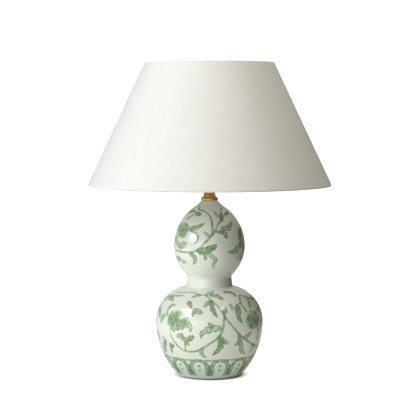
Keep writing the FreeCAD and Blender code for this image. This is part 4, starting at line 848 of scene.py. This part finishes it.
def cloth_map(piece, flat):
    """Gives a piece its cloth coordinates. flat turns (angle, radius, height), in metres, into (across, up)."""
    mesh = piece.data
    layer = mesh.uv_layers.new(name="cloth")
    for face in mesh.polygons:
        corners = [mesh.vertices[mesh.loops[n].vertex_index].co for n in face.loop_indices]
        turns = [math.atan2(c.x, -c.y) for c in corners]
        if max(turns) - min(turns) > math.pi:
            turns = [t + math.tau if t < 0 else t for t in turns]
        for n, turn, corner in zip(face.loop_indices, turns, corners):
            layer.data[n].uv = flat(turn, math.hypot(corner.x, corner.y), corner.z)


def in_sector(turn, radius, height):
    far, swing = radius / math.sin(lean), turn * math.sin(lean)
    return (far * math.sin(swing), -far * math.cos(swing))


outer_wall = between(off_ring(low_ring, ROLL), off_ring(high_ring, ROLL), 24)
inner_wall = between(off_ring(high_ring, RING_WIRE), off_ring(low_ring, RING_WIRE), 24)
linen = spun("shade_linen", outer_wall + inner_wall, 360)
cloth_map(linen, in_sector)
print(f"cone leans {math.degrees(lean):.1f} degrees, slant {math.dist(outer_wall[0], outer_wall[-1]):.0f} mm")

# %% [markdown]
# Linen yarn is uneven: fine threads, and here and there a thicker slub a few centimetres long. The weave is
# drawn in cloth coordinates: crossed threads, two streaky noises along the warp and the weft for the slubs, and
# a third one on the bias, for the faint slanting ribs that the photograph shows.

# %% Linen
THREAD, TWILL_LEAN = 0.00062, 28


def woven(name, pale, deep, streaks):
    finish = Finish(name)
    cloth = finish.node("ShaderNodeUVMap", {"uv_map": "cloth"})
    across, up = finish.axis(cloth, "X"), finish.axis(cloth, "Y")
    warp, weft = (across * (math.tau / THREAD)).sine(), (up * (math.tau / THREAD)).sine()
    slub = (finish.noise(0.0011, 2.0, 0.6, (1, 0.03, 1), cloth).ramp(0.45, 0.85)
            + finish.noise(0.0011, 2.0, 0.6, (0.03, 1, 1), cloth).ramp(0.45, 0.85))
    bias = finish.node("ShaderNodeVectorRotate", {"rotation_type": "Z_AXIS"},
                       {"Vector": cloth, "Angle": math.radians(TWILL_LEAN)})
    twill = finish.noise(0.0028, 2.0, 0.5, (1, 0.05, 1), bias)
    threads = warp * weft * 0.25 + slub * 0.5 + twill * 0.6
    tone = (1 - warp * weft) * 0.06 + (1 - slub) * 0.1 + (twill - 0.5) * streaks
    return finish.surface(
        Base_Color=finish.blend(tone, rgb(*pale), rgb(*deep)), Roughness=0.82 + slub * 0.08, Sheen_Weight=0.15,
        Normal=finish.bump(threads, 0.00016))


finishes["linen"] = woven("white_linen", (243, 243, 242), (214, 212, 206), 0.5)
settle(linen, "shade", "linen", stands_for=["shade_fabric"])

# %% [markdown]
# At each ring the cloth is rolled round the wire and glued behind. Glue draws it in a little here and there,
# so the roll's thickness wanders. The top roll is not notched where the three arms reach the ring.

# %% Rolled hems


def rolled_hem(name, ring, way, node):
    """The roll round a ring wire, from the wall's face to behind it. way is 1 over the top, -1 underneath."""
    angles = lean + way * np.linspace(0, math.radians(290), 22)
    section = [(ROLL, a) for a in angles] + [(RING_WIRE, a) for a in angles[::-1]]
    hem = spun(name, [(ring[0] + off * math.cos(a), ring[1] + off * math.sin(a)) for off, a in section], 480)
    for corner in hem.data.vertices:
        turn, reach = round_axis(corner.co)
        off = np.array([reach / MM - ring[0], corner.co.z / MM - ring[1]])
        if np.hypot(*off) > ROLL - 0.2:
            glue = (1 + math.sin(47 * turn) * math.sin(31 * turn + 1)) * (1 + math.sin(9 * turn)) / 2
            draw = 1 - 0.022 * glue
            reach_to = (ring[0] + off[0] * draw) * MM
            corner.co.x, corner.co.y = corner.co.x * reach_to / reach, corner.co.y * reach_to / reach
            corner.co.z = (ring[1] + off[1] * draw) * MM
    cloth_map(hem, lambda turn, reach, height: (
        turn * ring[0] * MM, math.atan2(height / MM - ring[1], reach / MM - ring[0]) * ROLL * MM))
    return settle(hem, "shade", "linen", stands_for=[node])


low_hem = rolled_hem("bottom_roll", low_ring, -1, "bottom_hem")
high_hem = rolled_hem("top_roll", high_ring, 1, "top_hem")
print(f"hems {low_ring[0] * 2:.0f} and {high_ring[0] * 2:.0f} mm across")

# %% [markdown]
# Where the sector's two straight sides meet, one is lapped over the other and glued. The lap is a flat strip
# up the back, half a millimetre thick.

# %% The back seam
SEAM_HALF, SEAM_OFF = 5.0, ROLL + 0.02
# Round the strip: a place across it, as a share of its half width, and how far out it stands, in millimetres.
SEAM_SECTION = ((-1, 0.0), (-1, 0.42), (-0.5, 0.5), (0.5, 0.5), (0.96, 0.42), (1, 0.0))
seam_steps = between(off_ring(low_ring, SEAM_OFF), off_ring(high_ring, SEAM_OFF), 30)
shape = bmesh.new()
rows = []
for radius, height in seam_steps:
    row = []
    for spot, lift in SEAM_SECTION:
        turn = math.pi + spot * SEAM_HALF / radius
        reach = radius + lift
        row.append(shape.verts.new((reach * MM * math.sin(turn), -reach * MM * math.cos(turn), height * MM)))
    rows.append(row)
for low, high in zip(rows, rows[1:]):
    for k in range(len(low)):
        following = (k + 1) % len(low)
        shape.faces.new((low[k], low[following], high[following], high[k]))
shape.faces.new(rows[0])
shape.faces.new(rows[-1])
bmesh.ops.recalc_face_normals(shape, faces=shape.faces)
seam_mesh = bpy.data.meshes.new("back_seam")
shape.to_mesh(seam_mesh)
shape.free()
seam = new_piece("back_seam", seam_mesh)
cloth_map(seam, lambda turn, reach, height: (turn * reach, height))
settle(seam, "shade", "linen")
print(f"seam of {2 * SEAM_HALF:.0f} mm up the back")

# %% [markdown]
# The linen is glued to a stiff, smooth lining, which holds the cone's shape. It stops short of both rings.

# %% The lining
LINING, LINING_SHORT = 0.6, 3
lining = Finish("shade_lining")
lining_grain = lining.noise(0.0014, 2.0)
finishes["lining"] = lining.surface(
    Base_Color=lining.blend(lining_grain, rgb(244, 243, 238), rgb(236, 234, 228)),
    Roughness=0.42 + lining_grain * 0.1, Normal=lining.bump(lining_grain, 0.00003))
inside = between(off_ring(low_ring, RING_WIRE, LINING_SHORT),
                 off_ring(high_ring, RING_WIRE, -LINING_SHORT), 16)
behind = between(off_ring(high_ring, RING_WIRE - LINING, -LINING_SHORT),
                 off_ring(low_ring, RING_WIRE - LINING, LINING_SHORT), 16)
settle(spun("stiff_lining", inside + behind, 360), "shade", "lining", stands_for=["shade_lining"])
print(f"lining {LINING} mm thick")

# %% [markdown]
# Unrolled, the cone is a sector of a ring. The cloth it is cut from is as wide as the sector's outer chord and
# as long as the sector is high.

# %% The cloth as it was cut
far, near = outer_wall[0][0] * MM / math.sin(lean), outer_wall[-1][0] * MM / math.sin(lean)
swing = math.pi * math.sin(lean)
cut = (2 * far * math.sin(swing), far - near * math.cos(swing))
swing * (far ** 2 - near ** 2)
print(f"a sector of {2 * math.degrees(swing):.0f} degrees out of a cloth of {cut[0]:.3f} by {cut[1]:.3f} m")

# %% [markdown]
# ## The bulb's screw cap
# The nickel cap is rolled with a coarse round thread. The CAD keeps it plain, so this copy is spun with many
# rings and each point is then drawn in by a wave that climbs one pitch per turn.

# %% Screw thread
cap_low, cap_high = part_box("bulb_cap")
CAP_R, CAP_FOOT, CAP_TOP = cap_high[0] / MM, cap_low[2] / MM, cap_high[2] / MM
PITCH, THREAD_DEPTH = 3.63, 0.85
FLOOR_IN, FLOOR_OUT, CHAMFER, CAP_WALL = 9.6, 11.0, 2.2, 0.5
body_rows = between((CAP_R, CAP_FOOT + CHAMFER), (CAP_R, CAP_TOP), 70)
inner_rows = [(CAP_R - CAP_WALL, CAP_TOP), (CAP_R - 0.9, CAP_FOOT + 2.4), (FLOOR_IN, CAP_FOOT + CAP_WALL)]
cap = spun("threaded_cap", [(FLOOR_IN, CAP_FOOT), (FLOOR_OUT, CAP_FOOT), *body_rows, *inner_rows], 96)
for corner in cap.data.vertices:
    turn, reach = round_axis(corner.co)
    height = corner.co.z / MM
    if reach > (CAP_R - 0.1) * MM:
        fade = min(1, max(0, (height - CAP_FOOT - 2) / 2)) * min(1, max(0, (CAP_TOP - 3 - height) / 2))
        wave = 0.5 - 0.5 * math.cos(math.tau * height / PITCH - turn)
        pull = 1 - THREAD_DEPTH * fade * wave / CAP_R
        corner.co.x, corner.co.y = corner.co.x * pull, corner.co.y * pull
settle(cap, "bulb", "bulb_metal", stands_for=["bulb_cap"])
print(f"thread of {PITCH} mm pitch")

# %% [markdown]
# ## The studio
# The lamp stands on white paper that curves up behind it. The paper would need strong lamps to look white, and
# those would bleach the lamp, so it glows by itself instead: to the camera, and more weakly in reflections and
# through glass. Dull surfaces get no light from it. Near the foot it fades out, so the shadow there stays.

# %% Paper
# Metres from the axis over which the glow comes up, for the dark line at the foot and the soft shadow round it.
CONTACT, SOFT, MIRRORED = (0.056, 0.076), (0.18, 0.4), (0.06, 0.5)
CONTACT_SHARE, SOFT_SHARE, MIRRORED_SHARE = 0.78, 0.22, 0.4
paper = Finish("white_paper")
from_axis = (paper.axis(paper.place(), "X").power(2) + paper.axis(paper.place(), "Y").power(2)).power(0.5)
glow = from_axis.ramp(*CONTACT) * CONTACT_SHARE + from_axis.ramp(*SOFT) * SOFT_SHARE
seen = paper.node("ShaderNodeLightPath", output="Is Camera Ray") * glow
for rays in ("Is Glossy Ray", "Is Transmission Ray"):
    mirrored = paper.node("ShaderNodeLightPath", output=rays) * from_axis.ramp(*MIRRORED) * MIRRORED_SHARE
    seen = seen.most(mirrored)
paper_material = paper.surface(
    Base_Color=rgb(244, 244, 242), Roughness=0.9, Emission_Strength=1.0,
    Emission_Color=paper.blend(seen, (0, 0, 0, 1), (1, 1, 1, 1)))
SWEEP_BEND, SWEEP_FRONT, SWEEP_BACK, SWEEP_TOP = 1.2, -4.0, 6.5, 6.0
profile = [(SWEEP_FRONT, 0.0), (SWEEP_BACK - SWEEP_BEND, 0.0)]
profile += [(SWEEP_BACK - SWEEP_BEND + SWEEP_BEND * math.sin(a), SWEEP_BEND - SWEEP_BEND * math.cos(a))
            for a in np.linspace(0, math.pi / 2, 20)[1:]]
profile.append((SWEEP_BACK, SWEEP_TOP))
sweep_mesh = bpy.data.meshes.new("paper_sweep")
sweep_mesh.from_pydata([(x, y, z) for y, z in profile for x in (-5, 5)], [],
                       [(2 * k, 2 * k + 1, 2 * k + 3, 2 * k + 2) for k in range(len(profile) - 1)])
sweep_mesh.shade_smooth()
sweep_mesh.materials.append(paper_material)
new_piece("paper_sweep", sweep_mesh)
print(f"paper up to {SWEEP_TOP:.0f} m high")

# %% [markdown]
# Photographers stand a black cloth, or flag, beside a glossy thing to darken one edge. This one stands to the
# right, and the camera doesn't see it.

# %% The black flag
FLAG_X, FLAG_Y, FLAG_TOP = 0.42, (-0.6, 1.3), 0.38
black = Finish("black_cloth")
flag_mesh = bpy.data.meshes.new("black_flag")
flag_mesh.from_pydata([(FLAG_X, y, z) for y, z in zip(FLAG_Y + FLAG_Y[::-1], (0, 0, FLAG_TOP, FLAG_TOP))], [],
                      [(0, 1, 2, 3)])
flag_mesh.materials.append(black.surface(Base_Color=rgb(14, 14, 14), Roughness=1.0, Specular_IOR_Level=0.0))
flag = new_piece("black_flag", flag_mesh)
flag.visible_camera = False
print(f"flag {FLAG_TOP} m high")

# %% [markdown]
# The sky is dim, a little warm and the same all round, so shadows don't go black. To the camera it is white,
# like the paper, in the views that look past the paper's edge.

# %% Sky
SKY_LIGHT, SKY_SEEN = (0.18, 0.172, 0.156, 1), (1, 1, 1, 1)
world = bpy.data.worlds.new("sky")
world.use_nodes = True
bpy.context.scene.world = world
sky = world.node_tree
rays, tone = sky.nodes.new("ShaderNodeLightPath"), sky.nodes.new("ShaderNodeMix")
tone.data_type = "RGBA"
tone.inputs[6].default_value, tone.inputs[7].default_value = SKY_LIGHT, SKY_SEEN
sky.links.new(rays.outputs["Is Camera Ray"], tone.inputs["Factor"])
sky.links.new(tone.outputs[2], sky.nodes["Background"].inputs["Color"])
print("sky of", SKY_LIGHT[:3])

# %% [markdown]
# A tall soft lamp to the left makes the window-like highlights on both bulbs. A wide one in front fills the
# shadows, and a warm one above, where the shade hides it from the glaze, lights the linen.

# %% Lamps


def soft_lamp(name, place, aim, width, tall, power, colour):
    lamp = bpy.data.lights.new(name, "AREA")
    lamp.shape, lamp.size, lamp.size_y, lamp.energy, lamp.color = "RECTANGLE", width, tall, power, colour
    holder = bpy.data.objects.new(name, lamp)
    bpy.context.scene.collection.objects.link(holder)
    holder.location = place
    holder.rotation_euler = (Vector(aim) - Vector(place)).to_track_quat("-Z", "Y").to_euler()
    print(f"{name}: {power} W")


soft_lamp("tall_window", (-1.55, -1.0, 1.15), (0, 0, 0.25), width=0.95, tall=1.25, power=24,
          colour=(0.965, 0.98, 1.0))
soft_lamp("front_fill", (-1.4, -2.6, 0.5), (0, 0, 0.3), width=1.9, tall=0.9, power=12, colour=(0.98, 1.0, 1.0))
soft_lamp("overhead", (1.05, -0.9, 2.35), (0, 0, 0.47), width=1.0, tall=1.0, power=19, colour=(1.0, 0.95, 0.8))

# %% [markdown]
# The camera's height, tilt and lens come from the ellipses that the shade's two rims draw in the photograph.

# %% The camera of the photograph
CAMERA_PLACE, CAMERA_DROP, LENS, SENSOR = (-0.0065, -2.670, 0.501), 3.99, 126.2, 36
camera = bpy.data.cameras.new("photo_camera")
camera.lens, camera.sensor_width, camera.sensor_fit = LENS, SENSOR, "HORIZONTAL"
stand = bpy.data.objects.new("photo_camera", camera)
bpy.context.scene.collection.objects.link(stand)
stand.location = CAMERA_PLACE
stand.rotation_euler = (math.radians(90 - CAMERA_DROP), 0, 0)
bpy.context.scene.camera = stand
bpy.context.scene.view_settings.view_transform = "Standard"
print(f"camera {-CAMERA_PLACE[1]:.2f} m away, tilted down {CAMERA_DROP} degrees")
